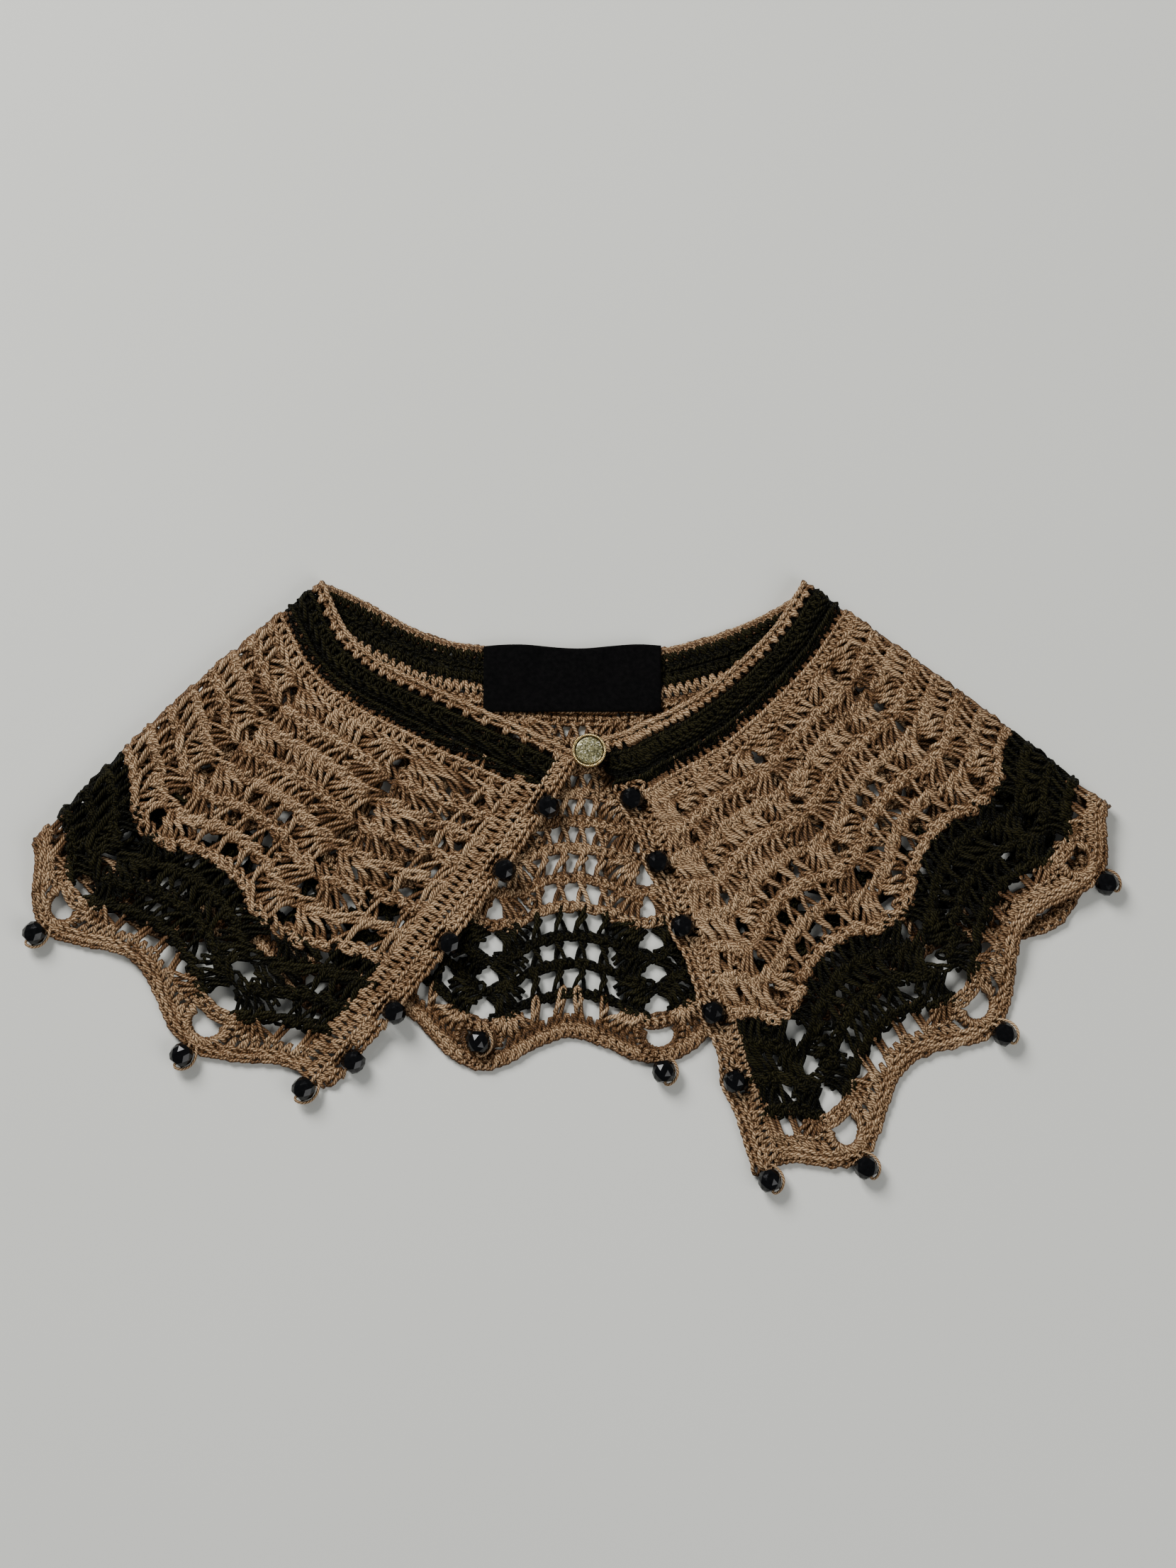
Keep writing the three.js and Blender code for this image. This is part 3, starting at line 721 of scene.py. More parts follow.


# %% [markdown]
# ## Finishes
# The yarn is mercerised cotton: plies twisted together, each catching a soft line of light. The
# twist is a wave over the strand's own UV map, round and along it; in the colour it gives painted
# shade in the grooves between plies and a painted highlight on their crests, and it raises a bump.
# Yarn that lies deep in the cloth gets painted shade as well. Each stitch also carries a tone, so
# that neighbours differ a little, as hand work does.


# %% Building a material
class Look:
    """A node material. Each method adds one node and gives back what comes out of it."""

    def __init__(self, name):
        self.material = bpy.data.materials.new(name)
        self.material.use_nodes = True
        self.tree = self.material.node_tree
        self.surface = self.tree.nodes["Principled BSDF"]

    def feed(self, node, inputs):
        """Link sockets and set numbers on a node's inputs."""
        for key, value in inputs.items():
            if isinstance(value, bpy.types.NodeSocket):
                self.tree.links.new(value, node.inputs[key])
            else:
                node.inputs[key].default_value = value

    def node(self, kind, inputs=None, **settings):
        """Any shader node, with its inputs and settings."""
        made = self.tree.nodes.new("ShaderNode" + kind)
        for setting, value in settings.items():
            setattr(made, setting, value)
        self.feed(made, inputs or {})
        return made.outputs

    def place(self):
        """The point's own place on its object, in metres."""
        return self.node("TexCoord")["Object"]

    def calculate(self, operation, *values):
        """One sum, product or wave of numbers or sockets."""
        return self.node("Math", dict(enumerate(values)), operation=operation)[0]

    def times(self, a, b):
        """The product of two numbers or sockets."""
        return self.calculate("MULTIPLY", a, b)

    def noise(self, vector, scale, detail=2):
        """Cloudy noise, `scale` clouds to one unit of the vector."""
        return self.node("TexNoise", {"Vector": vector, "Scale": scale, "Detail": detail})[0]

    def ramp(self, value, stops):
        """A colour ramp over a value; stops are (position, colour), or (position, grey)."""
        made = self.tree.nodes.new("ShaderNodeValToRGB")
        self.tree.links.new(value, made.inputs[0])
        elements = made.color_ramp.elements
        while len(elements) < len(stops):
            elements.new(0.5)
        for element, (position, colour) in zip(elements, stops):
            element.position = position
            element.color = (*(colour if isinstance(colour, tuple) else (colour,) * 3), 1)
        return made.outputs[0]

    def bump(self, height, strength, distance):
        """A normal raised by a height; the distance is in metres."""
        return self.node("Bump", {"Height": height, "Strength": strength, "Distance": distance})[0]

    def finish(self, **inputs):
        """The surface's own inputs, with _ for a space; gives back the material."""
        self.feed(self.surface, {key.replace("_", " "): value for key, value in inputs.items()})
        return self.material


def linear(*display):
    """Colour in linear light from display values of 0 to 255."""
    return tuple(((v / 255 + 0.055) / 1.055) ** 2.4 if v > 10 else v / 255 / 12.92 for v in display)


# %% Yarn material
PLIES = 3
TWIST = 3.4
PLY_SHARE = 0.42
FIBRE_SHARE = 0.25
TONE_SHARE = 0.14
PATCH_SHARE = 0.2
# Share of its colour that yarn keeps at the cloth's middle level, where the painted shade is deepest
DEEPEST_PAINTED_LIGHT = 0.3


def yarn_material(name, groove, body, light, shine):
    """Twisted cotton: ply wave over (around, along) with painted shade in the grooves and a painted
    highlight on the crests, fibre noise, a tone for each stitch, and painted shade deep in the cloth.
    """
    look = Look(name)
    uv = look.node("UVMap", uv_map="yarn")[0]
    split = look.node("SeparateXYZ", {0: uv})
    around = look.times(split[0], PLIES * math.tau)
    along = look.times(split[1], PLIES * math.tau / TWIST)
    half_phase = look.times(look.calculate("ADD", around, along), 0.5)
    ply = look.calculate("ABSOLUTE", look.calculate("SINE", half_phase))
    fibre = look.noise(look.node("Mapping", {0: uv, "Scale": (9, 1.1, 1)})[0], 2.2, 3)
    patch = look.noise(look.place(), 55)
    tone, painted_light_by_depth = (look.node("Attribute", attribute_name=key)["Fac"] for key in ("tone", "painted_light_by_depth"))
    level = look.times(ply, PLY_SHARE)
    for part, share in ((fibre, FIBRE_SHARE), (tone, TONE_SHARE), (patch, PATCH_SHARE)):
        level = look.calculate("ADD", level, look.times(part, share))
    # Painted shade: the colour level is scaled down where yarn lies near the cloth's middle level, deep in
    # the stitches
    painted_shade_factor = look.calculate("ADD", look.times(painted_light_by_depth, 1 - DEEPEST_PAINTED_LIGHT), DEEPEST_PAINTED_LIGHT)
    level = look.times(level, painted_shade_factor)
    height = look.calculate("ADD", ply, look.times(fibre, 0.35))
    return look.finish(
        # The ramp's first colour is painted shade for the grooves and the deepest yarn, and its last is a
        # painted highlight on the ply crests; fibre, tone and patch add real variation
        Base_Color=look.ramp(level, [(0.08, groove), (0.42, body), (0.85, light)]),
        Roughness=look.ramp(fibre, [(0.2, 0.4), (0.8, 0.62)]),
        Normal=look.bump(height, 0.8, 0.00022),
        Sheen_Weight=0.03,
        Sheen_Roughness=0.4,
        Specular_IOR_Level=shine,
    )


# For each yarn: painted groove shade, the yarn's own colour, and a painted crest highlight
beige = yarn_material("beige_cotton", linear(22, 8, 0), linear(103, 71, 40), linear(212, 182, 143), 0.22)
green = yarn_material("green_cotton", linear(0, 0, 0), linear(8, 7, 1), linear(46, 42, 21), 0.05)
print("materials:", [material.name for material in (beige, green)])


def make_yarn(node, parts, material, piece=""):
    """Worked yarn that stands for a node, or for one piece of it."""
    make_object(f"{node}{piece}_yarn", joined(parts), material, [node])


# %% [markdown]
# ## The worked pieces
# Now the rows are called in order from the neck to the hem, as the maker worked them.

# %% Neck trim and neck band
NECK_EDGE = (-LEFT_EDGING, REPEATS + RIGHT_EDGING)
ROPE_ROW = 0.9
ROPE_HEIGHT = 0.2
ROPE_RADIUS = 0.5
ROPE_PITCH = 3.0
ROPE_STATIONS = 900
TRIM_TOPS = 1.9
TEETH_FROM = 4.4
TEETH_TO = 1.5
TEETH_SPACING = 3.3
NECK_ROWS = 3
BAND_OVERLAP = 0.14


def neck_rope():
    """Two strands that wind round the neck's edge, ROPE_PITCH mm to a turn."""
    u = np.linspace(*NECK_EDGE, ROPE_STATIONS)
    length = np.concatenate([[0], np.cumsum(np.diff(u) * repeat_width(ROPE_ROW))])
    lines = []
    for strand in range(2):
        angle = math.tau * (length / ROPE_PITCH + strand / 2)
        row = ROPE_ROW + ROPE_RADIUS * np.cos(angle)
        lines.append(cloth(u, row, ROPE_HEIGHT + ROPE_RADIUS * np.sin(angle)))
    return [sweep(np.stack(lines), ROPE_RADIUS)]


trim = neck_rope() + plain_tops(TRIM_TOPS, *NECK_EDGE, spacing=2.5, slant=0.2)
u = spread(*NECK_EDGE, 4, TEETH_SPACING)
trim += stitches(SHORT, (u, TEETH_FROM), (u, TEETH_TO), flip=worked_side(1), swell=1.5, slim=0.7)
make_yarn("neck_trim", trim, beige)

neck = []
step = (NECK_BAND_END - TRIM_END) / NECK_ROWS
for number in range(NECK_ROWS):
    first = TRIM_END + step * number
    neck += short_row(number, first, first + step, -BAND_OVERLAP, REPEATS + RIGHT_EDGING)
make_yarn("neck_band", neck, green)

# %% Body
BODY_STEPS = [8.2, 8.4, 8.8, 9.2, 9.6, 9.8, 10.0]
NET_COUNTS = [3, 3, 4, 4, 4, 4, 4]
BODY_PIECES = ["upper", "upper", "middle", "middle", "middle", "lower", "lower"]
body_rows = SCALLOP_START + np.concatenate([[0], np.cumsum(BODY_STEPS)])
first_rows = [NECK_BAND_END, (NECK_BAND_END + SCALLOP_START) / 2, SCALLOP_START]
body = {"upper": [], "middle": [], "lower": []}
for number in range(2):
    body["upper"] += short_row(number, first_rows[number], first_rows[number + 1], 0, REPEATS)
for number, (piece, count) in enumerate(zip(BODY_PIECES, NET_COUNTS)):
    body[piece] += shell_and_net(number + 1, body_rows[number], body_rows[number + 1], count)
for piece, parts in body.items():
    make_yarn("body", parts, beige, f"_{piece}")

# %% Contrast band
CONTRAST_ROWS = 3
contrast_step = (CONTRAST_END - BODY_END) / CONTRAST_ROWS
contrast = []
for number in range(CONTRAST_ROWS):
    first = BODY_END + contrast_step * number
    contrast += shell_and_net(number, first, first + contrast_step, 4, last=number == CONTRAST_ROWS - 1)
make_yarn("contrast_band", contrast, green)

# %% [markdown]
# ## The hem
# The hem starts with long hooked loops that reach up over the band at each post of the net, with
# fans of posts beside each tip, and with short bars of loops that cross between a tip's two holes.
# Two rows of single crochets follow. At a tip they part round the lower hole, which is wrapped
# with short strands, and a braid of loops runs along the outside.

# %% Hem edging
HEM_FIRST = 124.0
HEM_SECOND = 127.6
HOLE_ROW = 123.3
HOLE_HALF = 5.3
HOLE_HALF_HEIGHT = 3.5
HOLE_RING = 2.8
FIRST_CLEAR = 2.6
SECOND_CLEAR = 0.6
HOLE_WRAPS = 15
HOLE_ARC = 2.0
BAR_ROWS = [117.4, 118.9]
BAR_HALF = 5.4
BAR_LOOPS = 5
BAR_LOOP_HALF = 1.9
FAN_BASES = np.array([6.4, 6.9, 7.5, 8.2, 9.0, 10.0])
FAN_TOPS = np.array([4.4, 6.8, 9.0, 11.5, 14.4, 17.6])
FAN_ENDS = np.array([118.4, 120.6, 122.6, 123.6, 124.0, 124.0])


def hem_fans():
    """Six posts to each side of a loop hole, from the edge of the band to the first hem row."""
    width = repeat_width(HEM_FIRST)
    base_u, top_u = (at_columns(both_sides(marks) / width) for marks in (FAN_BASES, FAN_TOPS))
    start = CONTRAST_END - 1.0 + ripple(base_u, CONTRAST_END)
    return posts((base_u, start), (top_u, np.tile(both_sides(FAN_ENDS, 1), REPEATS)), worked_side(0))


def hem_spikes():
    """Long hooked loops from the hem up over the band, at each post of the net."""
    u = net_places(HEM_FIRST, 4)
    base_u = u + chance.normal(0, 0.014, u.size)
    base, top = (base_u, CONTRAST_END - 2.2), (u, HEM_FIRST + 0.6)
    made = stitches(HOOK_LOOP, base, top, flip=worked_side(0), swell=1.2, slim=1.1)
    return made + stitches(WRAP, base, top, THIN_YARN, flip=worked_side(0), slim=0.9)


def hem_bars():
    """Loops that cross between the two holes of every tip, in two lines."""
    width = repeat_width(HEM_FIRST)
    u = at_columns(np.linspace(-BAR_HALF, BAR_HALF, BAR_LOOPS) / width)
    made = []
    for number, row in enumerate(BAR_ROWS):
        made += links(u, BAR_LOOP_HALF / width, row, SLANT * worked_side(number), tilt=0)
    return made


def hem_shorts(number, row0, row1, half):
    """Single crochets along the hem, left out within `half` mm of every shell column."""
    u = spread(0, REPEATS, row0)
    u = u[offset_from_column(u, HOLE_ROW) > half]
    return stitches(SHORT, (u, row0), (u, row1), flip=worked_side(number))


def hole_wraps():
    """Strands set radially round the outer half of each loop hole."""
    angle = np.linspace(-HOLE_ARC, HOLE_ARC, HOLE_WRAPS)
    ends = []
    for ring in (0, HOLE_RING):
        u = at_columns((HOLE_HALF + ring) * np.sin(angle) / repeat_width(HEM_END))
        ends.append((u, np.tile(HOLE_ROW + (HOLE_HALF_HEIGHT + ring) * np.cos(angle), REPEATS)))
    return stitches(SHORT, *ends, swell=1.3, slim=0.8)


hem = hem_fans() + hem_spikes() + hem_bars()
hem += hem_shorts(1, HEM_FIRST, HEM_SECOND, HOLE_HALF + FIRST_CLEAR)
hem += plain_tops(HEM_SECOND + 0.5, 0, REPEATS)
hem += hem_shorts(0, HEM_SECOND, HEM_END - 0.6, HOLE_HALF + SECOND_CLEAR)
hem += hole_wraps()
hem += plain_tops(HEM_END - 1.1, 0, REPEATS)
make_yarn("hem_edging", hem, beige)

# %% [markdown]
# ## Front edgings
# Each front edge is finished with its own strip: two lines of single crochets at right angles to
# the edge, with braids of chain loops. On the left one the inner lines start below the neck band,
# and the outer braid stops short of each bead. On the right one the outer braid steps aside round
# each bead.

# %% Both front edgings
LEFT_BEAD_ROWS = np.array([19.7, 43.8, 72.3, 99.5, 119])
RIGHT_BEAD_ROWS = np.array([20, 39.5, 59, 85, 105])
BEAD_CLEAR = 4.4
NARROW_CLEAR = 3.4
EDGING_END = HEM_END - 0.5
LINE_SHIFT = 1.2
BULGE = 1.9 / 42
BULGE_REACH = 4
LEFT_SPACING = 2.3
RIGHT_SPACING = 2.2
LEFT_LEAN = 0.5
RIGHT_EDGE = REPEATS + 0.006
LEFT_LINES = ((0.02, -0.075), (-0.06, -0.14))
RIGHT_LINES = ((RIGHT_EDGE - 0.01, RIGHT_EDGE + 0.07), (RIGHT_EDGE + 0.05, RIGHT_EDGE + 0.13))
LEFT_OUTER = (-0.14, -0.14 - 0.075)
LEFT_BRAIDS = (-0.145, -0.222)
LEFT_BRAID_END = HEM_END - 2.5
RIGHT_BRAIDS = (REPEATS + 0.1, REPEATS + 0.172)
OUTER_TILT = 0.1


def to_bead(rows, bead_rows):
    """Rows, in mm, to the nearest bead of a front edge."""
    return np.abs(rows[:, None] - bead_rows).min(1)


def broken_tops(u, start, end, bead_rows, **more):
    """Chain loops along a front edge, with a gap at each bead."""
    starts = np.concatenate([[start], bead_rows + BEAD_CLEAR])
    ends = np.concatenate([bead_rows - BEAD_CLEAR, [end]])
    return [part for stretch in zip(starts, ends) for part in column_tops(u, *stretch, **more)]


def two_lines(lines, rows, lean, slim):
    """Two lines of single crochets at right angles to a front edge, each from u to u; the second
    line is set LINE_SHIFT mm on and leans the other way."""
    (start, end), (next_start, next_end) = lines
    made = stitches(SHORT, (start, rows), (end, rows + lean), slim=slim)
    rows = rows + LINE_SHIFT
    return made + stitches(SHORT, (next_start, rows), (next_end, rows - lean), slim=slim)


def left_edging():
    """Two lines below the neck band, a braid, outer single crochets and the outer braid."""
    every_row = strip_rows(TRIM_END, EDGING_END, LEFT_SPACING)
    rows = every_row[every_row > NECK_BAND_END]
    made = two_lines(LEFT_LINES, rows, chance.normal(0, LEFT_LEAN, rows.size), 1.2)
    made += column_tops(LEFT_BRAIDS[0], TRIM_END, EDGING_END)
    rows = every_row[to_bead(every_row, LEFT_BEAD_ROWS) > BEAD_CLEAR]
    made += stitches(SHORT, *((u, rows) for u in LEFT_OUTER))
    return made + broken_tops(LEFT_BRAIDS[1], TRIM_END, LEFT_BRAID_END, LEFT_BEAD_ROWS, tilt=OUTER_TILT)


def round_beads(row):
    """The right braid steps out by BULGE repeats at a bead, and back within BULGE_REACH mm."""
    return BULGE * bell(row[:, None] - RIGHT_BEAD_ROWS, BULGE_REACH).sum(1)


def right_edging():
    """Two lines inside, an inner braid, short stitches at the beads, and a braid outside them."""
    rows = strip_rows(NECK_BAND_END, EDGING_END, RIGHT_SPACING)
    made = two_lines(RIGHT_LINES, rows[to_bead(rows, RIGHT_BEAD_ROWS) > NARROW_CLEAR], 0, 1.25)
    made += broken_tops(RIGHT_BRAIDS[0], NECK_BAND_END, EDGING_END, RIGHT_BEAD_ROWS)
    near = strip_rows(NECK_BAND_END, EDGING_END)
    near = near[to_bead(near, RIGHT_BEAD_ROWS) <= NARROW_CLEAR]
    made += stitches(SHORT, (RIGHT_EDGE, near), (RIGHT_EDGE + 0.04, near))
    outer = RIGHT_BRAIDS[1], NECK_BAND_END, EDGING_END
    return made + column_tops(*outer, tilt=OUTER_TILT, shift=round_beads)


make_yarn("front_edging_left", left_edging(), beige)
make_yarn("front_edging_right", right_edging(), beige)

# %% [markdown]
# ## Beads
# The beads are black cut glass, drilled through. Each is a closed band of facets: rings of points
# set half a step apart, so that the faces between them are triangles that catch the light one by
# one, and an inner wall for the bore. A bead sits exactly where its solid is.

# %% Places of the beads
BEAD_RADIUS = 4.0
BEAD_LENGTH = 7.2
BEAD_BORE = 0.9
LOOP_HALF = 0.07
TIP_COLUMNS = [0.5, 1.5, 5.5, 8.5, 9.5, 10.5]
LOOP_BEAD = (4.5, 123.4)
LEFT_ON_BACK = 110
RIGHT_ON_BACK = 95
RIGHT_BEAD_U = REPEATS + RIGHT_EDGING * 0.7
REST_LEVEL = BEAD_RADIUS * math.cos(math.pi / 10)
BACK_LEVEL = CLOTH + SHELL_PUFF + SEAM_GAP


def flat_direction(start, end):
    """Unit direction from start to end, seen from above."""
    return unit((end - start) * np.array([1, 1, 0]))


def at(u, row):
    """One point of the cloth's middle, as three numbers."""
    return middle(np.array([float(u)]), np.array([float(row)]))[0]


def tip_place(column):
    """Just outside the hem's edge, with the bore along the ray."""
    edge = (at(column - LOOP_HALF, HEM_END) + at(column + LOOP_HALF, HEM_END)) / 2
    direction = flat_direction(at(column, HEM_END - 3), edge)
    return edge + direction * (BEAD_LENGTH / 2 + SEAM_GAP + 0.1), direction


def edge_place(u, row):
    """On a front edge, with the bore along it."""
    return at(u, row), flat_direction(at(u, row), at(u, row + 2))


def edge_beads(u, rows, on_back):
    """The beads of one front edge; they lie on the back as far as the row `on_back`."""
    return [(*edge_place(u, row), row < on_back, "edge") for row in rows]


def bead_places():
    """Every bead from the left front's neck round the hem to the right's: place, direction, kind."""
    tips = [-LEFT_EDGING / 2, *TIP_COLUMNS]
    found = edge_beads(-LEFT_EDGING, LEFT_BEAD_ROWS, LEFT_ON_BACK)
    found += [(*tip_place(column), False, "tip") for column in tips]
    found.append((*edge_place(*LOOP_BEAD), False, "tip"))
    found.append((*tip_place(REPEATS + RIGHT_EDGING / 2), False, "tip"))
    found += edge_beads(RIGHT_BEAD_U, RIGHT_BEAD_ROWS, RIGHT_ON_BACK)
    places = []
    for centre, direction, on_back, kind in found:
        level = REST_LEVEL + (BACK_LEVEL if on_back else 0)
        places.append((np.array([centre[0], centre[1], level]) + PLACE, direction, kind))
    return places


beads = bead_places()
print(len(beads), "beads; the first at", beads[0][0].round(1))

# %% Cut glass
FACET_RINGS = [(2.5, -3.4), (3.65, -2.0), (4.0, 0.0), (3.65, 2.0), (2.5, 3.4)]
FACETS = 10


def bead_shape(centre, direction):
    """Rings (radius, height) about the bore; every other ring is turned by half a facet."""
    rings = [(BEAD_BORE, -BEAD_LENGTH / 2), *FACET_RINGS, (BEAD_BORE, BEAD_LENGTH / 2)]
    radius, height = np.array(rings).T
    angle = math.tau / FACETS * (np.arange(FACETS) + 0.5 * (np.arange(len(rings)) % 2)[:, None])
    side = np.array([-direction[1], direction[0], 0])
    around = np.cos(angle)[..., None] * np.cross(direction, side) + np.sin(angle)[..., None] * side
    points = around * radius[:, None, None] + direction * height[:, None, None]
    index = np.arange(points[..., 0].size).reshape(len(rings), FACETS)
    corners = []
    for ring in range(len(rings) - 1):
        low, high = index[ring], index[ring + 1]
        low_next, high_next = np.roll(low, -1), np.roll(high, -1)
        if ring % 2 == 0:
            corners += [(low, high, low_next), (low_next, high, high_next)]
        else:
            corners += [(low, high_next, low_next), (low, high, high_next)]
    first, last = index[0], index[-1]
    last_next = np.roll(last, -1)
    corners += [(first, np.roll(first, -1), last_next), (first, last_next, last)]
    faces = np.concatenate([np.stack(three, 1) for three in corners])
    return plain_shape(points.reshape(-1, 3) + centre, faces)


def glass_material():
    """Black glass: a dark body, a sharp gloss and the faintest cloud of handling on it."""
    look = Look("black_glass")
    cloud = look.noise(look.place(), 900)
    return look.finish(
        Base_Color=look.ramp(cloud, [(0.35, (0.0012, 0.0012, 0.0014)), (0.75, (0.003, 0.003, 0.0035))]),
        Roughness=look.ramp(cloud, [(0.4, 0.08), (0.8, 0.18)]),
        Specular_IOR_Level=0.28,
    )


black_glass = glass_material()
for number, (centre, direction, _) in enumerate(beads, 1):
    name, shape = f"bead_{number:02d}", bead_shape(centre, direction)
    make_object(f"{name}_glass", shape, black_glass, [name], smooth=False)

# %% [markdown]
# ## The yarn that holds the beads
# At a hem tip one strand comes out of the edge, lies along the bead's side to its far end and goes
# back through the bore. On a front edge the strand enters the bore at both ends.

# %% Bead yarn
BEAD_YARN = 0.5
STRAND_STATIONS = 34
TIP_STRAND = [
    (-6.0, 0.9, -2.4), (-4.6, 2.6, -1.6), (-2.0, 4.2, -0.3), (1.0, 4.5, 0.1), (3.4, 3.2, 0.1),
    (4.5, 1.2, 0.0),
    (3.9, 0.0, 0.0), (1.5, 0.0, 0.0), (-2.0, 0.0, 0.0), (-4.2, 0.0, -0.3), (-5.6, -0.6, -2.2),
]
EDGE_STRAND = [
    (-6.4, -0.8, -3.0), (-5.2, -0.5, -1.6), (-3.9, 0.0, -0.1), (-1.5, 0.0, 0.0),
    (1.5, 0.0, 0.0), (3.9, 0.0, -0.1), (5.2, 0.5, -1.6), (6.4, 0.8, -3.0),
]


def bead_strand(centre, direction, kind):
    """Centre line of the strand in the bead's own directions: along the bore, sideways and up."""
    side = np.array([-direction[1], direction[0], 0])
    path = smooth_path(TIP_STRAND if kind == "tip" else EDGE_STRAND, STRAND_STATIONS)
    return centre + path @ np.stack([direction, side, np.array([0, 0, 1.0])])


strands = [sweep(bead_strand(*bead)[None], BEAD_YARN, sides=6) for bead in beads]
make_object("bead_yarn", joined(strands), beige)

# %% [markdown]
# ## Button
# The button is a small gold-coloured metal cap. A twisted wire runs round its rim, a dark groove
# follows, and a disc of clear resin full of glitter fills the middle.

# %% Turned shapes
BUTTON_PLACE = (5.5, 41.3)
BUTTON_ROW = 8.0
WIRE = 0.24
RIM_RADIUS = 5.3
RIM_LEVEL = 2.95
RIM_TURNS = 30
CAP_PROFILE = [
    (0.3, -2.4), (1.5, -2.4), (1.6, -2.2), (1.6, -0.1), (1.9, 0.0), (4.6, 0.0), (5.2, 0.25), (5.6, 0.8),
    (5.7, 1.4), (5.7, 2.2), (5.55, 2.6), (5.2, 2.75), (4.95, 2.7), (4.88, 2.4), (4.85, 2.2), (0.3, 2.2),
]
INLAY_PROFILE = [
    (0.3, 2.3), (4.5, 2.3), (4.62, 2.45), (4.6, 2.7), (4.2, 2.82), (3.0, 2.94), (1.5, 3.02), (0.3, 3.04),
]


def front_top():
    """Height on which the button lies: the front's upper side near the neck, and a small gap."""
    return float(front_level(np.array([0.0]), np.array([BUTTON_ROW]))[0]) + CLOTH / 2 + SEAM_GAP


def lathe(profile, centre, sides=72):
    """Profile (radius, height) turned about the upright axis and closed by a cap at each end."""
    radius, height = np.array(profile, float).T
    angle = math.tau * np.arange(sides) / sides
    size = radius[:, None] + 0 * angle
    points = np.stack([size * np.cos(angle), size * np.sin(angle), height[:, None] + 0 * size], -1)
    index = np.arange(size.size).reshape(size.shape)
    here, there = index[:-1], index[1:]
    quads = np.stack([here, np.roll(here, -1, 1), np.roll(there, -1, 1), there], -1).reshape(-1, 4)
    return plain_shape(points.reshape(-1, 3) + centre, quads, np.stack([index[0, ::-1], index[-1]]))


def rim_wire(turn):
    """One strand of the rim's twisted wire: a helix round a circle."""
    angle = math.tau * np.linspace(0, 1, 260)
    twist = RIM_TURNS * angle + turn
    radius = RIM_RADIUS + WIRE * np.cos(twist)
    line = np.stack([radius * np.cos(angle), radius * np.sin(angle), RIM_LEVEL + 0.2 * np.sin(twist)], 1)
    return line + button_centre


def gold_material():
    """Pale gold plate, mottled in small random patches between a darker and a brighter gold, the brighter
    patches glossier.
    """
    look = Look("gold_plate")
    cloud = look.noise(look.place(), 1400, 3)
    return look.finish(
        Base_Color=look.ramp(cloud, [(0.3, linear(186, 158, 102)), (0.7, linear(250, 230, 175))]),
        Roughness=look.ramp(cloud, [(0.3, 0.3), (0.7, 0.14)]),
        Metallic=1.0,
    )


button_centre = np.array([*BUTTON_PLACE, front_top()]) + PLACE
wires = sweep(np.stack([rim_wire(0), rim_wire(math.pi)]), WIRE, sides=6)
gold = gold_material()
make_object("button_cap_metal", lathe(CAP_PROFILE, button_centre), gold, ["button_cap"])
make_object("button_rim_wire", wires, gold)


# %% Glitter disc
def glitter_material():
    """Glitter in resin: small cells, each its own shade and gloss, under a clear coat. The palest
    cells are painted near white, as painted glints of flakes catching the light.
    """
    look = Look("glitter_resin")
    cells = look.node("TexVoronoi", {"Vector": look.place(), "Scale": 2600})["Color"]
    shade, gloss, metal = look.node("SeparateColor", {0: cells})
    dark, plain = linear(74, 72, 42), linear(124, 119, 82)
    pale, painted_glint_white = linear(184, 177, 128), linear(255, 252, 228)
    return look.finish(
        # The last stop is a painted glint: near-white cells that stand in for reflections; the other stops
        # are the flakes' own colours
        Base_Color=look.ramp(shade, [(0.0, dark), (0.5, plain), (0.84, pale), (1.0, painted_glint_white)]),
        Roughness=look.ramp(gloss, [(0.0, 0.18), (1.0, 0.5)]),
        Metallic=look.ramp(metal, [(0.0, 0.2), (1.0, 0.8)]),
        Normal=look.bump(gloss, 0.7, 0.0002),
        Coat_Weight=0.6,
        Coat_Roughness=0.08,
    )


inlay = lathe(INLAY_PROFILE, button_centre)
make_object("button_inlay_resin", inlay, glitter_material(), ["button_inlay"])

# %% [markdown]
# ## Label
# The woven neck label is a plain strip of black cloth, sewn down by its short ends. It lies in a
# shallow wave over the stitches, so it is a grid of points with a thickness, not a flat card.

# %% Woven label
LABEL = {"x": -0.2, "y": 66.8, "width": 60.0, "height": 22.5, "thickness": 0.6, "wave": 0.7}
LABEL_LIFT = 0.3
LABEL_ROLL = 0.2
ROLL_WIDTH = 0.9
WARP = 0.00042
WEFT = 0.00055


def slab(columns, rows, upper, lower):
    """Closed plate between two grids of points, with four walls."""
    top = np.arange(columns * rows).reshape(columns, rows)
    bottom = top + columns * rows
    border = np.concatenate([top[:, 0], top[-1, 1:], top[-2::-1, -1], top[0, -2:0:-1]])
    under = border + columns * rows
    corners = [
        (top[:-1, :-1], top[1:, :-1], top[1:, 1:], top[:-1, 1:]),
        (bottom[:-1, :-1], bottom[:-1, 1:], bottom[1:, 1:], bottom[1:, :-1]),
        (border, under, np.roll(under, -1), np.roll(border, -1)),
    ]
    quads = np.concatenate([np.stack(four, -1).reshape(-1, 4) for four in corners])
    return plain_shape(np.concatenate([upper.reshape(-1, 3), lower.reshape(-1, 3)]), quads)


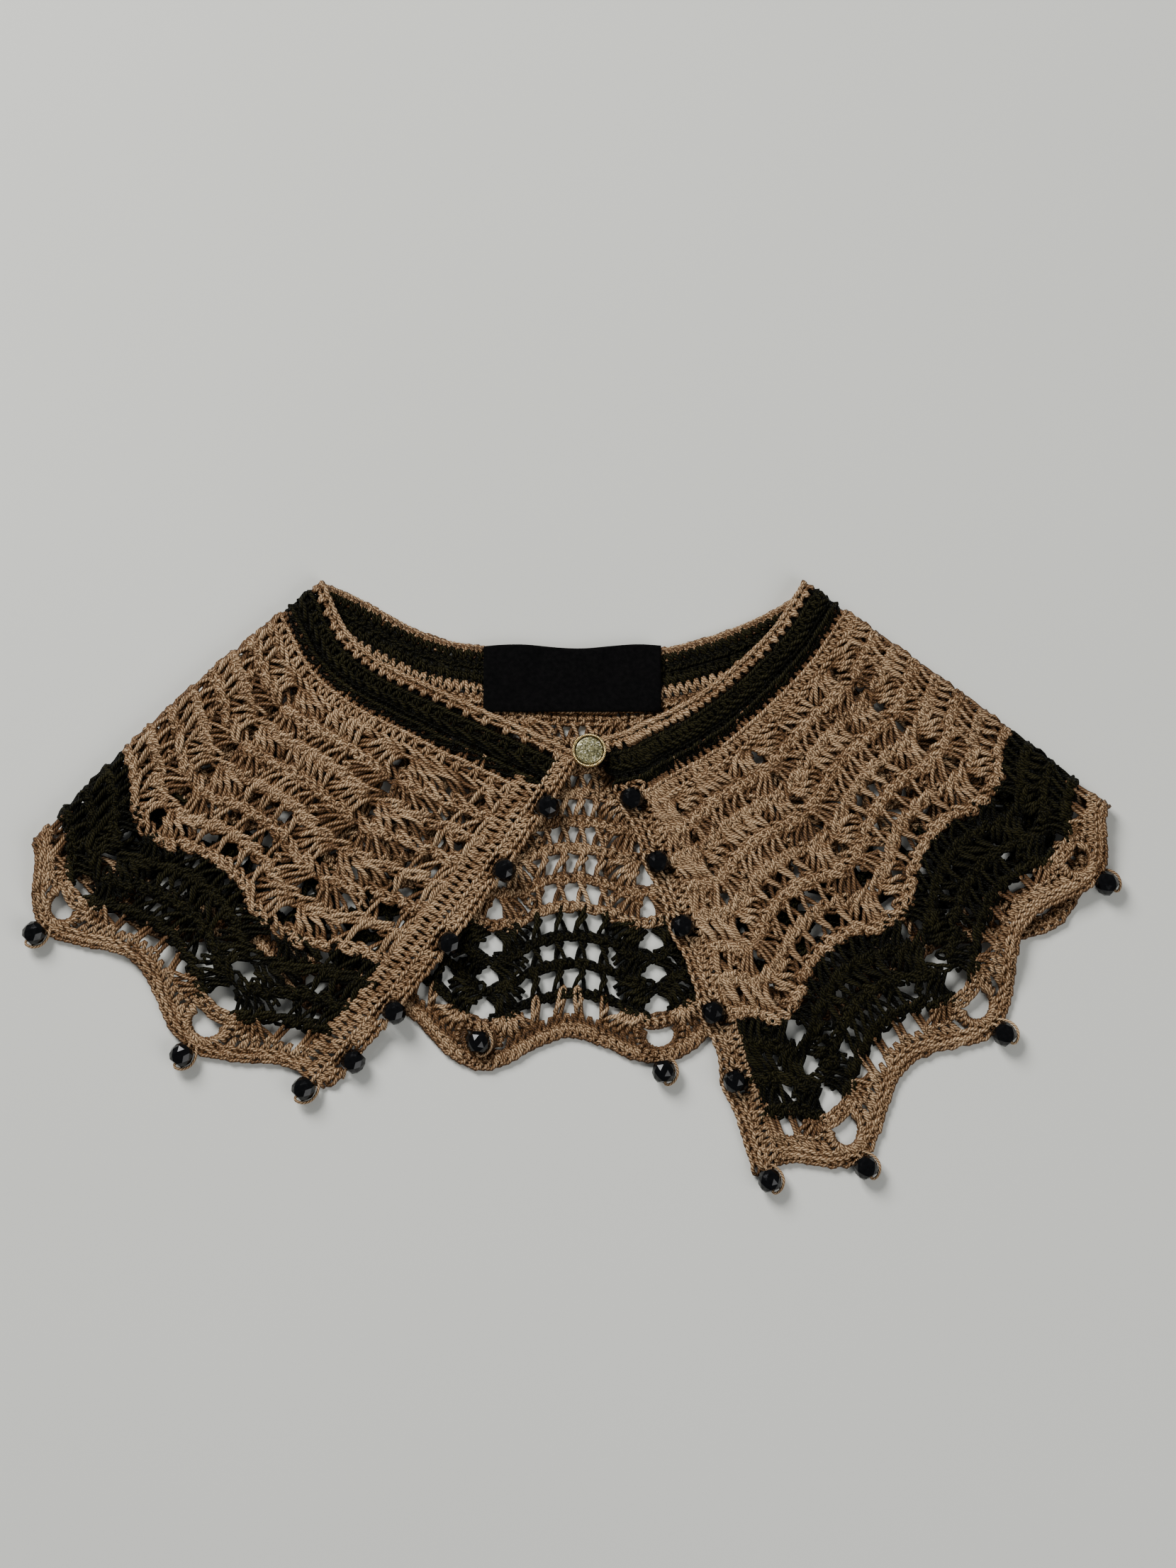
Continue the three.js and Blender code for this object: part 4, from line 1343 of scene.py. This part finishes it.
def label_shape(columns=91, rows=37):
    """Wave along the width, a slight sag over the rows below, and a rolled edge all round."""
    across, down = np.meshgrid(np.linspace(0, 1, columns), np.linspace(0, 1, rows), indexing="ij")
    width, height = LABEL["width"], LABEL["height"]
    x = LABEL["x"] + (across - 0.5) * width
    y = LABEL["y"] + (0.5 - down) * height + LABEL["wave"] * np.sin(across * 9) * (1 - down)
    base = CLOTH + SEAM_GAP + STITCH_LIFT
    waves = 0.16 * np.sin(across * 14 + 2 * down) * np.sin(math.pi * down)
    swell = waves + 0.1 * np.sin(across * 31 + 5 * down)
    edge = np.minimum(np.minimum(across, 1 - across) * width, np.minimum(down, 1 - down) * height)
    roll = LABEL_ROLL * smooth_step(edge / ROLL_WIDTH)
    top = base + LABEL["thickness"] - LABEL_ROLL + roll + LABEL_LIFT + swell
    bottom = base + LABEL_LIFT - 0.05 * roll + swell
    upper, lower = (np.stack([x, y, level], -1) + PLACE for level in (top, bottom))
    return slab(columns, rows, upper[:, ::-1], lower[:, ::-1])


def woven_black():
    """Fine satin weave: two crossed waves for warp and weft, on black cotton."""
    look = Look("black_label_weave")
    place = look.place()
    split = look.node("SeparateXYZ", {0: place})
    warp, weft = (
        look.calculate("SINE", look.times(along, math.tau / pitch))
        for along, pitch in ((split[0], WARP), (split[1], WEFT))
    )
    weave = look.times(warp, weft)
    level = look.calculate("ADD", look.times(weave, 0.18), look.noise(place, 700, 4))
    return look.finish(
        Base_Color=look.ramp(level, [(0.3, (0.0006, 0.0006, 0.0007)), (0.85, (0.0045, 0.004, 0.004))]),
        Normal=look.bump(weave, 0.5, 0.00012),
        Roughness=0.85,
        Specular_IOR_Level=0.06,
    )


label = make_object("label_cloth", label_shape(), woven_black(), ["label"])

# %% [markdown]
# ## Studio
# A pale floor, soft light from above and a camera nearly overhead, as the photograph was taken.

# %% Floor, lights and camera
CAMERA_TARGET = np.array([5.7, 33.4, 3]) / 1000
CAMERA_DISTANCE = 1.5
CAMERA_ELEVATION = math.radians(80)
FRAME_HEIGHT = 0.527
SENSOR_HEIGHT = 36
FLOOR_HALF = 1.5
WINDOW = {"place": (-0.9, 1.2, 1.3), "size": 0.9, "power": 52}
FILL = {"place": (1.1, -0.9, 1.2), "size": 1.2, "power": 15}
ROOM_COLOUR = (0.9, 0.95, 1.0, 1)
ROOM_LIGHT = 0.16


def pale_floor():
    """A flat square under the collar, plain and matte."""
    mesh = bpy.data.meshes.new("floor")
    corners = [(x * FLOOR_HALF, y * FLOOR_HALF, 0) for x, y in ((-1, -1), (1, -1), (1, 1), (-1, 1))]
    mesh.from_pydata(corners, [], [(0, 1, 2, 3)])
    look = Look("floor_paint")
    cloud = look.noise(look.place(), 3)
    paint = look.ramp(cloud, [(0.3, linear(217, 217, 209)), (0.7, linear(222, 222, 215))])
    mesh.materials.append(look.finish(Base_Color=paint, Roughness=0.85))
    placed("floor", mesh)


def soft_light(name, place, size, power):
    """A square area light that looks at the collar."""
    data = bpy.data.lights.new(name, "AREA")
    data.size = size
    data.energy = power
    lamp = placed(name, data)
    lamp.location = place
    lamp.rotation_euler = (Vector(CAMERA_TARGET) - Vector(place)).to_track_quat("-Z", "Y").to_euler()


pale_floor()
soft_light("window", **WINDOW)
soft_light("fill", **FILL)
world = bpy.data.worlds.new("room")
bpy.context.scene.world = world
world.use_nodes = True
world.node_tree.nodes["Background"].inputs[0].default_value = ROOM_COLOUR
world.node_tree.nodes["Background"].inputs[1].default_value = ROOM_LIGHT

camera_data = bpy.data.cameras.new("camera")
camera_data.sensor_fit = "VERTICAL"
camera_data.sensor_height = SENSOR_HEIGHT
camera_data.lens = SENSOR_HEIGHT * CAMERA_DISTANCE / FRAME_HEIGHT
camera = placed("camera", camera_data)
back = np.array([0, -math.cos(CAMERA_ELEVATION), math.sin(CAMERA_ELEVATION)])
camera.location = CAMERA_TARGET + back * CAMERA_DISTANCE
camera.rotation_euler = Vector(-back).to_track_quat("-Z", "Y").to_euler()
bpy.context.scene.camera = camera

# %% Sizes at the end
print("triangles in all:", sum(made_triangles.values()))
